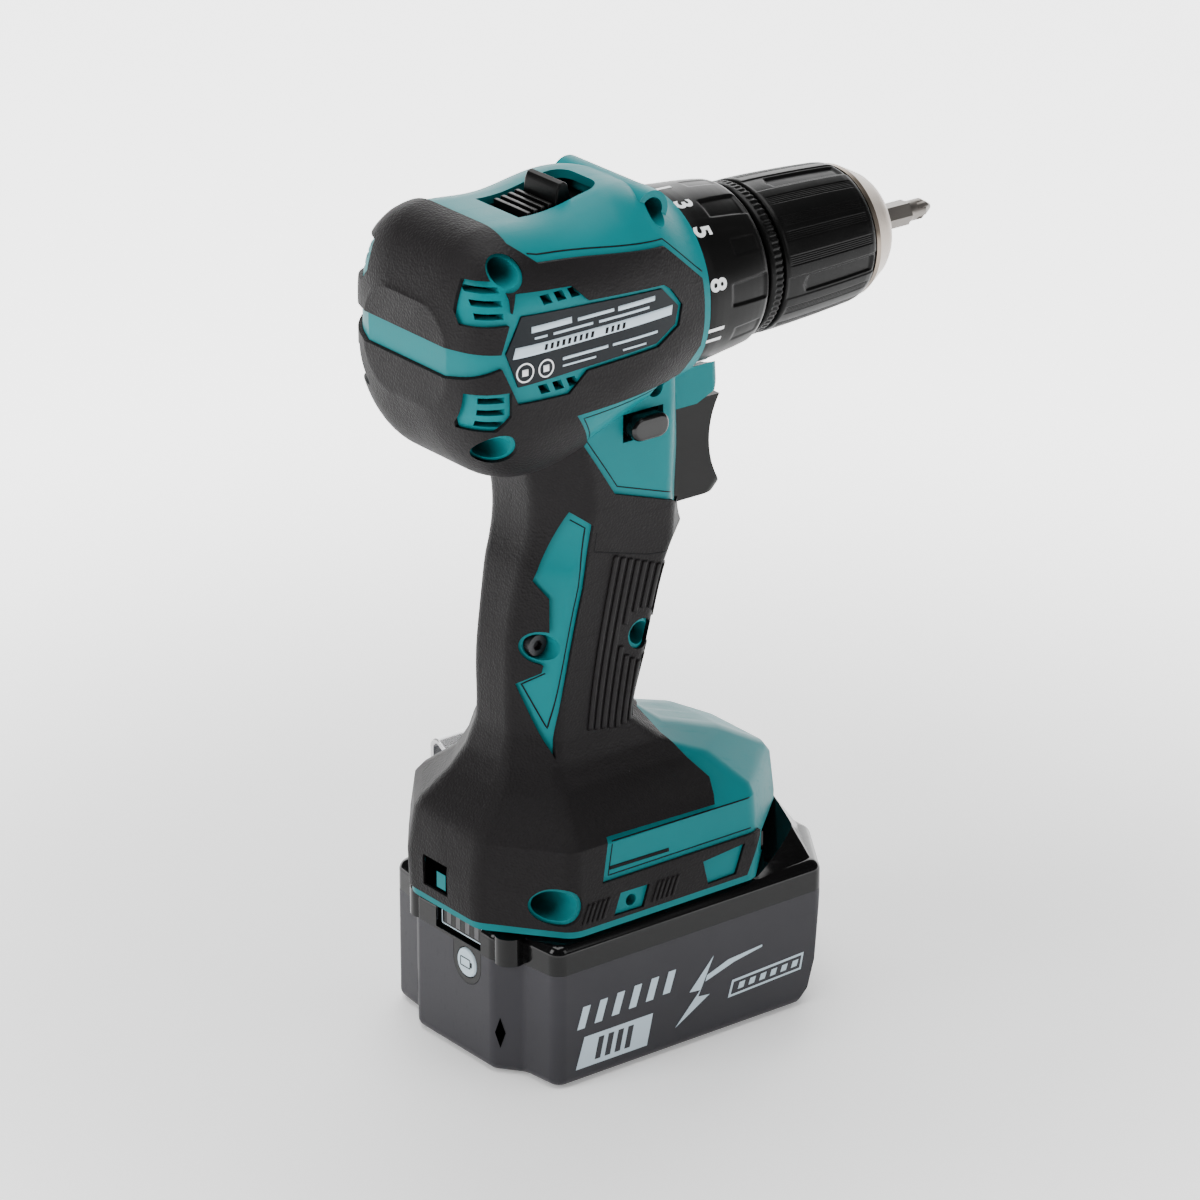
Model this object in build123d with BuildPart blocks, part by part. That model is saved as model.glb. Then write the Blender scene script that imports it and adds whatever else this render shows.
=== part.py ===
"""A compact cordless drill driver, as an assembly of separate pieces.

Millimetres. +X points out of the chuck, +Y to the tool's left and +Z up.
The origin is the centre of the battery's flat base, on which the tool stands.
"""

from build123d import *
import math
import os

os.makedirs("parts", exist_ok=True)

# Driving dimensions
axis_z = 210.1  # height of the spindle axis
wall = 2.4  # moulded shell thickness
cover = 0.9  # thickness of the soft overmould
running = 0.05  # radial clearance of a running fit
gap = 0.3  # clearance between parts that move past each other

# Barrel cross-sections, rear to front: x, half width, underside, top, corner radius
barrel_front = 12.6
barrel_stations = [
    (-67.6, 17.0, 196.5, 223.0, 11.0),
    (-64.6, 24.0, 187.5, 231.5, 15.0),
    (-57.5, 29.0, 178.0, 240.3, 18.0),
    (-44.0, 30.4, 173.0, 241.8, 19.0),
    (-24.0, 30.2, 176.5, 242.2, 20.0),
    (-12.0, 29.8, 180.0, 244.4, 21.0),
    (1.0, 28.6, 182.4, 242.0, 24.0),
    (barrel_front, 26.6, 183.5, 236.7, 25.5),
]
# Foot and grip cross-sections, bottom to top:
# z, back, front, half width, half heel, half nose, heel slant, nose slant, corner radius
handle_stations = [
    (43.2, -57.5, 47.0, 36.2, 15.0, 14.0, 17.0, 25.0, 7.0),
    (56.0, -58.0, 47.2, 36.4, 15.0, 14.0, 17.0, 25.0, 7.0),
    (67.6, -56.0, 46.0, 35.0, 14.5, 13.5, 16.0, 24.0, 7.0),
    (70.4, -54.0, 44.0, 32.6, 14.0, 13.0, 15.0, 22.0, 6.5),
    (78.4, -46.5, 29.5, 22.6, 11.0, 11.0, 12.0, 14.0, 6.0),
    (84.8, -42.6, 11.0, 19.0, 9.0, 9.0, 9.5, 10.5, 5.5),
    (93.0, -40.4, 0.8, 17.3, 7.5, 7.5, 9.0, 9.0, 5.0),
    (106.0, -40.2, 3.4, 17.2, 7.0, 7.5, 9.0, 9.0, 5.0),
    (118.0, -39.8, 7.2, 17.4, 7.0, 7.5, 9.5, 9.5, 5.0),
    (128.0, -38.6, 9.8, 17.8, 7.0, 7.5, 10.0, 10.0, 5.0),
    (136.0, -37.2, 12.0, 18.2, 7.5, 8.0, 10.0, 10.0, 5.0),
    (143.0, -35.4, 16.6, 18.6, 8.0, 8.5, 10.5, 12.0, 5.0),
    (150.0, -33.6, 14.0, 19.2, 8.5, 10.0, 10.5, 9.0, 5.0),
    (160.0, -33.2, 12.6, 20.4, 9.0, 12.0, 11.0, 8.0, 5.0),
    (175.0, -37.0, 12.4, 21.4, 10.0, 12.5, 11.5, 8.0, 5.0),
    (192.0, -46.0, 12.4, 21.8, 11.0, 12.5, 12.0, 8.0, 5.0),
]
foot_stations, grip_stations, trigger_stations = handle_stations[:7], handle_stations[6:12], handle_stations[11:]
shoulder_low, shoulder_high = 60.0, 90.0  # heights between which the foot slopes into the grip

# Battery channel in the foot, a T slot open towards the front
foot_floor = 43.2
ledge_top = 47.0
channel_roof = 53.5
channel_half = 30.3
channel_mouth = 25.6
channel_back = -37.8
roof_thickness = 3.0
nose_edge_low = (20.4, 41.9)  # the foot's lower edge rises from here
nose_edge_high = (45.2, 53.3)

# Battery
battery_half = 37.25
seam_z = 33.7
battery_top = 42.4
cell_radius, cell_length = 9.0, 65.0
gauge_y, gauge_z = -2.0, 38.0
check_y, check_z = -6.0, 28.8

# Screws through the shell: x, z and radius of the well
boss_radius = 5.3
screw_spots = [
    (-55.0, 234.2, 3.5), (-58.4, 186.6, 3.5), (-0.9, 238.0, 3.4),
    (-34.0, 119.5, 3.6), (-44.0, 52.8, 4.4), (-4.0, 117.4, 3.3),
]
well_rim = 1.1  # bare rim left round each well
front_boss_reach = 18.4  # the front screw's boss stands out to here on both sides
hook_x, hook_z = -21.4, 49.6  # centre of the pad on each side of the foot
tapped_radius, hook_hole = 1.7, 1.9  # the free pad's hole and the one the hook's screw fills
hole_depth = 31.0  # both holes end this far from the middle

# Controls
lever_x, lever_z = -6.0, 179.8
lever_length, lever_height = 12.4, 7.0
slot_back, slot_front, slot_half = -38.0, -10.0, 9.4

# Planetary gearbox: module, sun teeth, planet teeth, ring teeth
first_stage = (0.75, 12, 18, 48)
second_stage = (0.85, 18, 12, 42)
planets = 3

# Chuck
jaw_tilt = 14.0
jaw_radius = 3.4
jaw_tip_x = 85.6
jaw_tip_offset = 3.9
bit_flat = 3.175  # half the width across the flats of a quarter inch hex


def write(builder, name):
    """Label a finished piece and write it as STEP."""
    builder.part.label = name
    export_step(builder.part, f"parts/{name}.step")


def mirrored(points):
    """The points, then the same points reflected in y = 0 in reverse order."""
    return points + [(x, -y) for x, y in reversed(points)]


def tube(start, end, outer, inner=0.0, y=0.0, z=axis_z):
    """A cylinder or a ring whose axis runs along X."""
    with BuildPart() as piece:
        with BuildSketch(Plane.YZ.offset(start)):
            with Locations((y, z)):
                Circle(outer)
                if inner > 0:
                    Circle(inner, mode=Mode.SUBTRACT)
        extrude(amount=end - start)
    return piece.part


def turned(profile):
    """A solid of revolution about the spindle axis from (x, radius) points."""
    with BuildPart() as piece:
        with BuildSketch(Plane.XZ):
            Polygon(*[(x, axis_z + r) for x, r in profile], align=None)
        revolve(axis=Axis((0, 0, axis_z), (1, 0, 0)))
    return piece.part


def slab(points, low, high):
    """A side-view outline of (x, z) points, extruded between two values of y."""
    with BuildPart() as piece:
        with BuildSketch(Plane.XZ.offset(-high)):
            Polygon(*points, align=None)
        extrude(amount=high - low)
    return piece.part


def peg(x, z, radius, low, high):
    """A cylinder whose axis runs along Y between two values of y."""
    with BuildPart() as piece:
        with BuildSketch(Plane.XZ.offset(-high)):
            with Locations((x, z)):
                Circle(radius)
        extrude(amount=high - low)
    return piece.part


def block(x, y, z):
    """A box from three (low, high) pairs."""
    with BuildPart() as piece:
        with BuildSketch(Plane.XY.offset(z[0])):
            with Locations(((x[0] + x[1]) / 2, (y[0] + y[1]) / 2)):
                Rectangle(x[1] - x[0], y[1] - y[0])
        extrude(amount=z[1] - z[0])
    return piece.part


def plan_prism(points, low, high, radius):
    """A plan outline with rounded corners, extruded between two heights."""
    with BuildPart() as piece:
        with BuildSketch(Plane.XY.offset(low)):
            Polygon(*points, align=None)
            fillet(vertices(), radius)
        extrude(amount=high - low)
    return piece.part


# ---- Outer form --------------------------------------------------------------------------


def barrel(grow):
    """The motor barrel, lofted from rounded rectangles and grown outwards by an amount."""
    with BuildPart() as body:
        for x, half, low, high, radius in barrel_stations:
            at = x - grow if x < -50 else x
            at = at + min(grow, 0) if x == barrel_front else at
            with BuildSketch(Plane.YZ.offset(at)):
                with Locations((0, (low + high) / 2)):
                    RectangleRounded(2 * (half + grow), high - low + 2 * grow, radius + grow)
        loft()
    return body.part


def handle_span(stations, grow, straight=False):
    """One span of the handle, lofted from eight-sided rounded outlines grown outwards."""
    with BuildPart() as body:
        for z, back, front, half, heel, nose, heel_run, nose_run, radius in stations:
            lift = grow if shoulder_low < z < shoulder_high else 0
            rear, tip, side = back - grow, front + grow, half + grow
            corners = [(rear, -heel), (rear + heel_run, -side), (tip - nose_run, -side), (tip, -nose)]
            with BuildSketch(Plane.XY.offset(z + lift)):
                Polygon(*mirrored(corners), align=None)
                fillet(vertices(), radius)
        loft(ruled=straight)
    return body.part


def handle(grow):
    """The foot, the grip and the trigger block, one span on top of the other."""
    with BuildPart() as body:
        add(handle_span(foot_stations, grow, True))
        add(handle_span(grip_stations, grow))
        add(handle_span(trigger_stations, grow))
    return body.part


def hood(grow):
    """The hood over the trigger, which cups the underside of the torque ring."""
    outline = [(0, 177.0), (0, 200.0), (26.0, 200.0), (27.0, 184.0), (25.2, 179.6), (19.0, 177.0)]
    with BuildPart() as body:
        add(slab(outline, -13.0 - grow, 13.0 + grow))
        fillet(body.faces().sort_by(Axis.X)[-1].edges().filter_by(Axis.Y, reverse=True), 3.0)
        add(tube(12.9, 40.0, 25.7), mode=Mode.SUBTRACT)
    return body.part


def envelope(grow):
    """The whole outer form of the shell."""
    with BuildPart() as body:
        add(barrel(grow))
        add(handle(grow))
        add(hood(0))
    return body.part


skin = envelope(0)


def cavity():
    """The hollow inside the shell, which leaves the battery channel's walls standing."""
    with BuildPart() as hollow:
        add(barrel(-wall))
        add(handle(-wall))
        add(block((-70, 60), (-50, 50), (40, foot_floor + wall)), mode=Mode.SUBTRACT)
        wall_box = (channel_back - wall, 60)
        add(block(wall_box, (-50, 50), (40, channel_roof + roof_thickness)), mode=Mode.SUBTRACT)
    return hollow.part


def channel():
    """The battery channel and the slanted cut that lets the battery's front rise beside it."""
    run = nose_edge_high[0] - nose_edge_low[0]
    slope = (nose_edge_high[1] - nose_edge_low[1]) / run
    far = 70.0
    far_z = nose_edge_low[1] + slope * (far - nose_edge_low[0])
    with BuildPart() as cut:
        add(block((channel_back, far), (-channel_half, channel_half), (ledge_top, channel_roof)))
        add(block((channel_back, far), (-channel_mouth, channel_mouth), (40, ledge_top)))
        add(slab([(nose_edge_low[0], 40), nose_edge_low, (far, far_z), (far, 40)], -50, 50))
    return cut.part


def slot_outline(x_low, x_high, half, low, high):
    """A vertical slot with a round front end."""
    with BuildPart() as piece:
        with BuildSketch(Plane.XY.offset(low)):
            with Locations(((x_low + x_high) / 2, 0)):
                Rectangle(x_high - x_low, 2 * half)
            fillet(vertices().group_by(Axis.X)[-1], half * 0.6)
        extrude(amount=high - low)
    return piece.part


vent_rows = [(-45.6, 226.1, 3), (-46.6, 201.7, 3)]  # x of the first slot, z, slots


def vents(x, z, count, side):
    """A row of slanted cooling slots through one side wall."""
    low, high = (-40, -22) if side < 0 else (22, 40)
    with BuildPart() as cut:
        for i in range(count):
            left = x + 4.6 * i
            add(slab([(left, z - 1.3), (left + 2.9, z - 1.3), (left + 1.7, z + 1.3), (left - 1.2, z + 1.3)], low, high))
    return cut.part


def rear_vents(side):
    """Three level louvre slots above and three below, at the barrel's rear corner."""
    low, high = (-40, -18) if side < 0 else (18, 40)
    with BuildPart() as cut:
        for centre in (227.2, 197.6):
            for i in range(3):
                z = centre + 3.3 * (i - 1)
                add(slab([(-63.6, z - 0.8), (-57.6, z - 0.8), (-57.6, z + 0.8), (-63.6, z + 0.8)], low, high))
    return cut.part


def bosses():
    """Solid columns across the shell for the screws and the tapped side pads."""
    with BuildPart() as columns:
        for x, z, well in screw_spots:
            add(peg(x, z, boss_radius, -40, 40))
        add(peg(hook_x, hook_z, 6.5, -40, 40))
        add(skin, mode=Mode.INTERSECT)
        front_x, front_z, front_well = screw_spots[2]
        add(peg(front_x, front_z, boss_radius, -front_boss_reach, front_boss_reach))
    return columns.part


def ribs():
    """Webs across the barrel that hold the stator and the rear bearing."""
    with BuildPart() as webs:
        for x in (-43.0, -30.0):
            add(block((x, x + 1.8), (-40, 40), (160, 232)))
        add(tube(-80, 0, 23.0 + running), mode=Mode.SUBTRACT)
        add(tube(-66, -59.6, 8.4))
        add(block((-66, -60.6), (-40, 40), (axis_z - 2, axis_z + 2)))
        add(tube(-63.1, -59.0, 6.0), mode=Mode.SUBTRACT)
        add(block((-80, 60), (-60, 60), (30, 174)), mode=Mode.SUBTRACT)
        add(hollow, mode=Mode.INTERSECT)
    return webs.part


hollow = cavity()
battery_channel = channel()
screw_bosses = bosses()
shell_ribs = ribs()


def shell_half(side):
    """One moulded half of the clamshell; side is -1 for the right half, +1 for the left."""
    outer = 50.0 * side
    low, high = min(0.0, outer), max(0.0, outer)
    with BuildPart() as half:
        add(skin)
        add(hollow, mode=Mode.SUBTRACT)
        add(screw_bosses)
        add(shell_ribs)
        add(battery_channel, mode=Mode.SUBTRACT)
        add(block((channel_back + 2.4, -5.0), (-19, 19), (channel_roof - 1, 58)), mode=Mode.SUBTRACT)
        add(tube(barrel_front - 8, 40, 22.0), mode=Mode.SUBTRACT)
        add(block((2.0, 40.0), (-10.5, 10.5), (147.6, 178.0)), mode=Mode.SUBTRACT)
        lever_room = (lever_x - lever_length / 2 - 0.6, lever_x + lever_length / 2 + 0.6)
        lever_rise = (lever_z - lever_height / 2 - 0.5, lever_z + lever_height / 2 + 0.5)
        add(block(lever_room, (-40, 40), lever_rise), mode=Mode.SUBTRACT)
        add(slot_outline(slot_back, slot_front, slot_half, 236, 250), mode=Mode.SUBTRACT)
        for x, z, count in vent_rows:
            add(vents(x, z, count, side), mode=Mode.SUBTRACT)
        add(rear_vents(side), mode=Mode.SUBTRACT)
        add(peg(-2.0, 189.0, 2.5, *sorted((outer, 16.0 * side))), mode=Mode.SUBTRACT)
        for x, z, well in screw_spots:
            add(peg(x, z, 2.1, low, high), mode=Mode.SUBTRACT)
            if side < 0:
                add(peg(x, z, well, -50, -9.0), mode=Mode.SUBTRACT)
        hole = tapped_radius if side < 0 else hook_hole
        add(peg(hook_x, hook_z, hole, *sorted((outer, hole_depth * side))), mode=Mode.SUBTRACT)
        add(block((22.0, 26.2), (-2.4, 2.4), (178.4, 182.4)), mode=Mode.SUBTRACT)
        add(block((-80, 60), sorted((-outer, 0.0)), (30, 260)), mode=Mode.SUBTRACT)
    return half


right_shell = shell_half(-1)
left_shell = shell_half(1)
write(right_shell, "housing_right")
write(left_shell, "housing_left")


# ---- Overmould and plates ----------------------------------------------------------------

top_bare = [(-50.9, 262), (-50.9, 240.3), (-44.8, 235.1), (-4.1, 231.1), (9.4, 219.1), (30, 219), (30, 262)]
front_bare = [(9.4, 225), (9.4, 200), (4.6, 192.0), (30, 176), (30, 225)]
panel_bare = [(-35.4, 191.9), (5.1, 192.1), (30, 192.1), (30, 150.6), (10.6, 150.6), (5.5, 154.6), (-15.4, 161.8)]
stripe_bare = [
    (-27.1, 158.1), (-21.9, 154.0), (-24.0, 136.0), (-25.6, 128.7), (-29.8, 107.4), (-33.4, 88.1),
    (-39.6, 108.8), (-34.9, 112.6), (-32.9, 123.5), (-32.3, 133.5), (-35.0, 138.2),
]
foot_bare = [(-28.6, 69.8), (-31.6, 57.6), (24.0, 57.6), (18.6, 45.6), (60, 45.6), (60, 92), (0.5, 92), (3.4, 86), (11.2, 74.6), (8.4, 69.2)]
band_bare = [(-75, 214.9), (-57.0, 213.6), (-57.0, 210.4), (-75, 203.6)]
window_bare = [(2.9, 54.2), (17.6, 55.6), (14.6, 47.0), (4.8, 46.8)]
pad_bare = [(-25.6, 53.2), (-15.6, 53.0), (-17.6, 46.6), (-27.8, 46.8)]
louvre_bare = [(-66.5, 233.0), (-57.2, 233.0), (-55.8, 228.0), (-55.8, 221.4), (-66.5, 221.4)]
lower_louvre_bare = [(-66.5, 203.0), (-56.2, 203.0), (-56.2, 196.4), (-60.0, 192.4), (-66.5, 192.4)]
plate_outline = [
    (-54.3, 229.6), (-36.4, 228.0), (-31.4, 223.1), (-6.0, 221.5), (-3.2, 219.6), (0.8, 214.4), (-0.4, 208.7),
    (-7.9, 204.5), (-31.8, 203.7), (-38.0, 198.6), (-54.2, 199.2), (-59.6, 211.6),
]
plate_low, plate_high = 203.9, 223.2


def bare_regions(side):
    """Everything the overmould leaves uncovered on one side."""
    low, high = (-50, -3.0) if side < 0 else (3.0, 50)
    with BuildPart() as cut:
        for outline in (top_bare, front_bare, band_bare, foot_bare):
            add(slab(outline, *sorted((50.0 * side, -0.5 * side))))
        for outline in (panel_bare, stripe_bare, window_bare, pad_bare, plate_outline):
            add(slab(outline, low, high))
        for outline in (louvre_bare, lower_louvre_bare):
            add(slab(outline, *sorted((50.0 * side, 19.0 * side))))
        for x, z, well in screw_spots:
            add(peg(x, z, well + well_rim, low, high))
        add(block((-80, 60), (-60, 60), (30, 45.6)))
        add(block((-60, -50), (-3, 8), (48.5, 57.5)))
        add(block((2.0, 40.0), (-10.5, 10.5), (147.6, 178.0)))
        add(block((-80, 60), sorted((-50.0 * side, 0.0)), (30, 260)))
    return cut.part


cover_skin = envelope(cover)


def overmould(side):
    """The soft skin over one half: grip, foot shoulders, side band and rear cap."""
    with BuildPart() as skin_piece:
        add(cover_skin)
        add(skin, mode=Mode.SUBTRACT)
        add(battery_channel, mode=Mode.SUBTRACT)
        add(bare_regions(side), mode=Mode.SUBTRACT)
        crumbs = [solid for solid in skin_piece.part.solids() if solid.volume < 60]
        for crumb in crumbs:
            add(crumb, mode=Mode.SUBTRACT)
    return skin_piece


def nameplate(side):
    """The rating plate let into the side band."""
    centre = (plate_low + plate_high) / 2
    outline = [(-57.4, centre), (-54.0, plate_low), (-8.3, 205.6), (-1.6, 209.4), (-0.4, 214.2), (-6.4, 220.4), (-53.0, plate_high)]
    low, high = (-50, -3.0) if side < 0 else (3.0, 50)
    with BuildPart() as plate:
        add(envelope(0.5))
        add(skin, mode=Mode.SUBTRACT)
        add(slab(outline, low, high), mode=Mode.INTERSECT)
    return plate


for side, word in ((-1, "right"), (1, "left")):
    write(overmould(side), f"overmould_{word}")
    write(nameplate(side), f"nameplate_{word}")


# ---- Screws and hook ---------------------------------------------------------------------

with BuildPart() as housing_screws:
    for x, z, well in screw_spots:
        add(peg(x, z, 3.0, -11.6, -9.0))
        add(peg(x, z, 1.9, -9.0, 8.0))
        with BuildSketch(Plane.XZ.offset(11.6)):
            with Locations((x, z)):
                RegularPolygon(1.6, 6)
        extrude(amount=-1.6, mode=Mode.SUBTRACT)
write(housing_screws, "housing_screws")

hook_thickness, hook_width = 1.6, 13.0
hook_inner = 37.8
with BuildPart() as belt_hook:
    with BuildSketch(Plane.YZ.offset(hook_x - hook_width / 2)):
        with BuildLine():
            FilletPolyline((hook_inner, 43.6), (hook_inner, 68.0), (46.6, 72.5), (46.6, 24.0), (49.5, 18.0), radius=3.0)
            offset(amount=hook_thickness, side=Side.LEFT)
        make_face()
    extrude(amount=hook_width)
    add(peg(hook_x, hook_z, 2.2, 30, 45), mode=Mode.SUBTRACT)
write(belt_hook, "belt_hook")

with BuildPart() as hook_screw:
    add(peg(hook_x, hook_z, 1.65, 31.4, hook_inner + hook_thickness + running))
    add(peg(hook_x, hook_z, 3.8, hook_inner + hook_thickness + running, hook_inner + hook_thickness + 2.2))
write(hook_screw, "hook_screw")


# ---- Gears ------------------------------------------------------------------------------


def gear_points(module, teeth, phase, addendum, dedendum, thickness):
    """Involute gear outline as (y, z); thickness is the tooth's share of the pitch."""
    pitch = module * teeth / 2
    base = pitch * math.cos(math.radians(20))
    tip, root = pitch + addendum * module, pitch - dedendum * module

    def spread(radius):
        """Angle from the flank's foot on the base circle out to a radius."""
        if radius <= base:
            return 0.0
        angle = math.acos(base / radius)
        return math.tan(angle) - angle

    half_pitch = math.pi * thickness / teeth
    radii = [max(root, base * 0.985), pitch, (pitch + tip) / 2, tip]
    half_angles = [half_pitch + spread(pitch) - spread(radius) for radius in radii]
    points = []
    for i in range(teeth):
        centre = phase + 2 * math.pi * i / teeth
        foot = half_angles[0]
        flank = [(root, -foot)] + [(r, -a) for r, a in zip(radii, half_angles)]
        flank += [(r, a) for r, a in reversed(list(zip(radii, half_angles)))] + [(root, foot)]
        if root >= radii[0] - 1e-6:
            flank = flank[1:-1]
        points += [(r * math.cos(centre + a), r * math.sin(centre + a)) for r, a in flank]
    return points


def gear(stage_module, teeth, phase, start, end, bore, y=0.0, z=axis_z):
    """A spur gear along X with a round bore."""
    with BuildPart() as piece:
        with BuildSketch(Plane.YZ.offset(start)):
            with Locations((y, z)):
                Polygon(*gear_points(stage_module, teeth, phase, 0.85, 1.15, 0.46), align=None)
                if bore > 0:
                    Circle(bore, mode=Mode.SUBTRACT)
        extrude(amount=end - start)
    return piece.part


def ring_gear(stage_module, teeth, phase, start, end, outer):
    """An internal gear along X; its tooth spaces are an external gear's outline."""
    with BuildPart() as piece:
        with BuildSketch(Plane.YZ.offset(start)):
            with Locations((0, axis_z)):
                Circle(outer)
                Polygon(*gear_points(stage_module, teeth, phase, 1.15, 0.85, 0.54), align=None, mode=Mode.SUBTRACT)
        extrude(amount=end - start)
    return piece.part


def planet_places(stage, sun_phase):
    """Centre and tooth phase of each planet, in mesh with the sun."""
    module, sun, planet, ring = stage
    reach = module * (sun + planet) / 2
    places = []
    for k in range(planets):
        angle = 2 * math.pi * k / planets + math.pi / 2
        past = (angle - sun_phase) * sun / (2 * math.pi)
        phase = angle + math.pi - (0.5 - past) * 2 * math.pi / planet
        places.append((reach * math.cos(angle), axis_z + reach * math.sin(angle), phase))
    return places


def ring_phase(stage, places):
    """Phase of the ring's tooth spaces, which receive the first planet's teeth."""
    module, sun, planet, ring = stage
    y, z, phase = places[0]
    angle = math.atan2(z - axis_z, y)
    past = (angle - phase) * planet / (2 * math.pi)
    return angle - past * 2 * math.pi / ring


pin_radius = 1.6
first_places = planet_places(first_stage, 0.0)
second_places = planet_places(second_stage, 0.0)
first_start, first_end = -14.4, -8.6
second_start, second_end = -2.0, 3.6


# ---- Motor -------------------------------------------------------------------------------

stator_back, stator_front = -47.5, -22.5
stator_outer, stator_inner = 23.0, 13.4
stator_teeth = 6
shaft_radius = 2.5

with BuildPart() as stator:
    add(tube(stator_back, stator_front, stator_outer, 20.0))
    with BuildSketch(Plane.YZ.offset(stator_back)) as tooth:
        with Locations((0, axis_z)):
            with PolarLocations(0, stator_teeth):
                with Locations((16.9, 0)):
                    Rectangle(7.0, 3.6)
                with Locations((14.0, 0)):
                    Rectangle(1.2, 9.0)
    extrude(amount=stator_front - stator_back)
write(stator, "stator")

with BuildPart() as windings:
    with BuildSketch(Plane.YZ.offset(stator_back - 3.0)):
        with Locations((0, axis_z)):
            with PolarLocations(0, stator_teeth):
                with Locations((17.15, 0)):
                    Rectangle(4.4, 9.0)
                    Rectangle(4.6, 3.8, mode=Mode.SUBTRACT)
    extrude(amount=stator_front - stator_back + 6.0)
    with BuildSketch(Plane.YZ.offset(stator_back - 3.0)):
        with Locations((0, axis_z)):
            with PolarLocations(0, stator_teeth):
                with Locations((17.15, 0)):
                    Rectangle(4.4, 9.0)
    extrude(amount=2.9)
    with BuildSketch(Plane.YZ.offset(stator_front + 0.1)):
        with Locations((0, axis_z)):
            with PolarLocations(0, stator_teeth):
                with Locations((17.15, 0)):
                    Rectangle(4.4, 9.0)
    extrude(amount=2.9)
write(windings, "motor_windings")

with BuildPart() as rotor_shaft:
    add(tube(-63.0, first_start - 0.4, shaft_radius))
    add(gear(first_stage[0], first_stage[1], 0.0, first_start - 0.4, first_end, 0.0))
write(rotor_shaft, "rotor_shaft")

with BuildPart() as rotor_magnets:
    add(tube(-46.5, -23.5, 12.9, shaft_radius))
    with BuildSketch(Plane.YZ.offset(-46.5)):
        with Locations((0, axis_z)):
            with PolarLocations(0, 4):
                with Locations((12.9, 0)):
                    Circle(0.7)
    extrude(amount=23.0, mode=Mode.SUBTRACT)
write(rotor_magnets, "rotor_magnets")

fan_back, fan_front, fan_radius = -58.6, -51.6, 17.0
with BuildPart() as cooling_fan:
    add(tube(fan_front - 1.4, fan_front, fan_radius, shaft_radius))
    add(tube(fan_back + 1.0, fan_front, 5.0, shaft_radius))
    with BuildSketch(Plane.YZ.offset(fan_back)):
        with Locations((0, axis_z)):
            with PolarLocations(0, 11):
                with Locations(Location((11.4, 0), 28)):
                    Rectangle(9.6, 1.0)
    extrude(amount=fan_front - fan_back - 1.0)
write(cooling_fan, "cooling_fan")

with BuildPart() as rear_bearing:
    add(tube(-62.9, -59.4, 6.0, shaft_radius + running))
write(rear_bearing, "rear_bearing")

with BuildPart() as front_bearing:
    add(tube(-21.6, -18.2, 8.0, shaft_radius + running))
write(front_bearing, "front_bearing")


# ---- Gearbox ----------------------------------------------------------------------------

with BuildPart() as first_ring:
    phase = ring_phase(first_stage, first_places)
    add(ring_gear(first_stage[0], first_stage[3], phase, first_start - 0.6, -8.1, 20.2))
write(first_ring, "ring_gear_1")

with BuildPart() as second_ring:
    phase = ring_phase(second_stage, second_places)
    add(ring_gear(second_stage[0], second_stage[3], phase, -2.6, 4.0, 20.2 - running))
    add(tube(0.0, 1.8, 21.0, 19.3), mode=Mode.SUBTRACT)
write(second_ring, "ring_gear_2")

for stage, places, start, end, word in (
    (first_stage, first_places, first_start, first_end, "1"),
    (second_stage, second_places, second_start, second_end, "2"),
):
    for (y, z, phase), letter in zip(places, "abc"):
        with BuildPart() as planet_gear:
            add(gear(stage[0], stage[2], phase, start, end, pin_radius + running, y, z))
        write(planet_gear, f"planet_{word}{letter}")

with BuildPart() as first_carrier:
    add(tube(-8.2, -6.0, 15.2))
    for y, z, phase in first_places:
        add(tube(first_start, -8.2, pin_radius, 0.0, y, z))
    add(gear(second_stage[0], second_stage[1], 0.0, -6.0, second_end, 0.0))
write(first_carrier, "carrier_1")

with BuildPart() as second_carrier:
    add(tube(4.1, 7.0, 16.4))
    for y, z, phase in second_places:
        add(tube(second_start, 4.1, pin_radius, 0.0, y, z))
write(second_carrier, "carrier_2")

nose_radius = 14.6
with BuildPart() as gear_case:
    add(turned([
        (-22.0, 8.0), (-22.0, 12.4), (-19.3, 12.8), (-19.3, 21.9), (12.2, 21.9), (12.2, nose_radius), (34.4, nose_radius),
        (34.4, 12.5), (26.0, 12.5), (26.0, 10.5), (12.2, 10.5), (8.4, 17.5), (8.4, 20.2), (-15.6, 20.2),
        (-15.6, 8.6), (-18.0, 8.0),
    ]))
    slot_reach = (-5.6, 2.0)
    add(block(slot_reach, (-24, 24), (axis_z - 1.3, axis_z + 1.3)), mode=Mode.SUBTRACT)
    with BuildSketch(Plane.YZ.offset(8.0)):
        with Locations((0, axis_z)):
            with PolarLocations(18.6, 6):
                Circle(1.55)
    extrude(amount=6.0, mode=Mode.SUBTRACT)
write(gear_case, "gear_case")

with BuildPart() as clutch_balls:
    for k in range(6):
        with Locations((10.7, 18.6 * math.cos(k * math.pi / 3), axis_z + 18.6 * math.sin(k * math.pi / 3))):
            Sphere(1.5)
write(clutch_balls, "clutch_balls")

with BuildPart() as clutch_plate:
    add(tube(12.5, 13.7, 20.2, nose_radius + 0.1))
write(clutch_plate, "clutch_plate")

spring_start, spring_end, spring_turns = 13.8, 25.4, 3
with BuildPart() as clutch_spring:
    for k in range(spring_turns + 1):
        at = spring_start + 1.3 + k * (spring_end - spring_start - 2.6) / spring_turns
        with BuildSketch(Plane.XZ):
            with Locations((at, axis_z + 17.2)):
                Circle(1.2)
        revolve(axis=Axis((0, 0, axis_z), (1, 0, 0)))
write(clutch_spring, "clutch_spring")

with BuildPart() as spring_nut:
    add(tube(spring_end + 0.1, 29.4, 20.6, nose_radius + 0.2))
write(spring_nut, "spring_nut")

with BuildPart() as spindle_bearing:
    add(tube(26.2, 34.0, 12.5, 6.0 + running))
write(spindle_bearing, "spindle_bearing")

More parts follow.
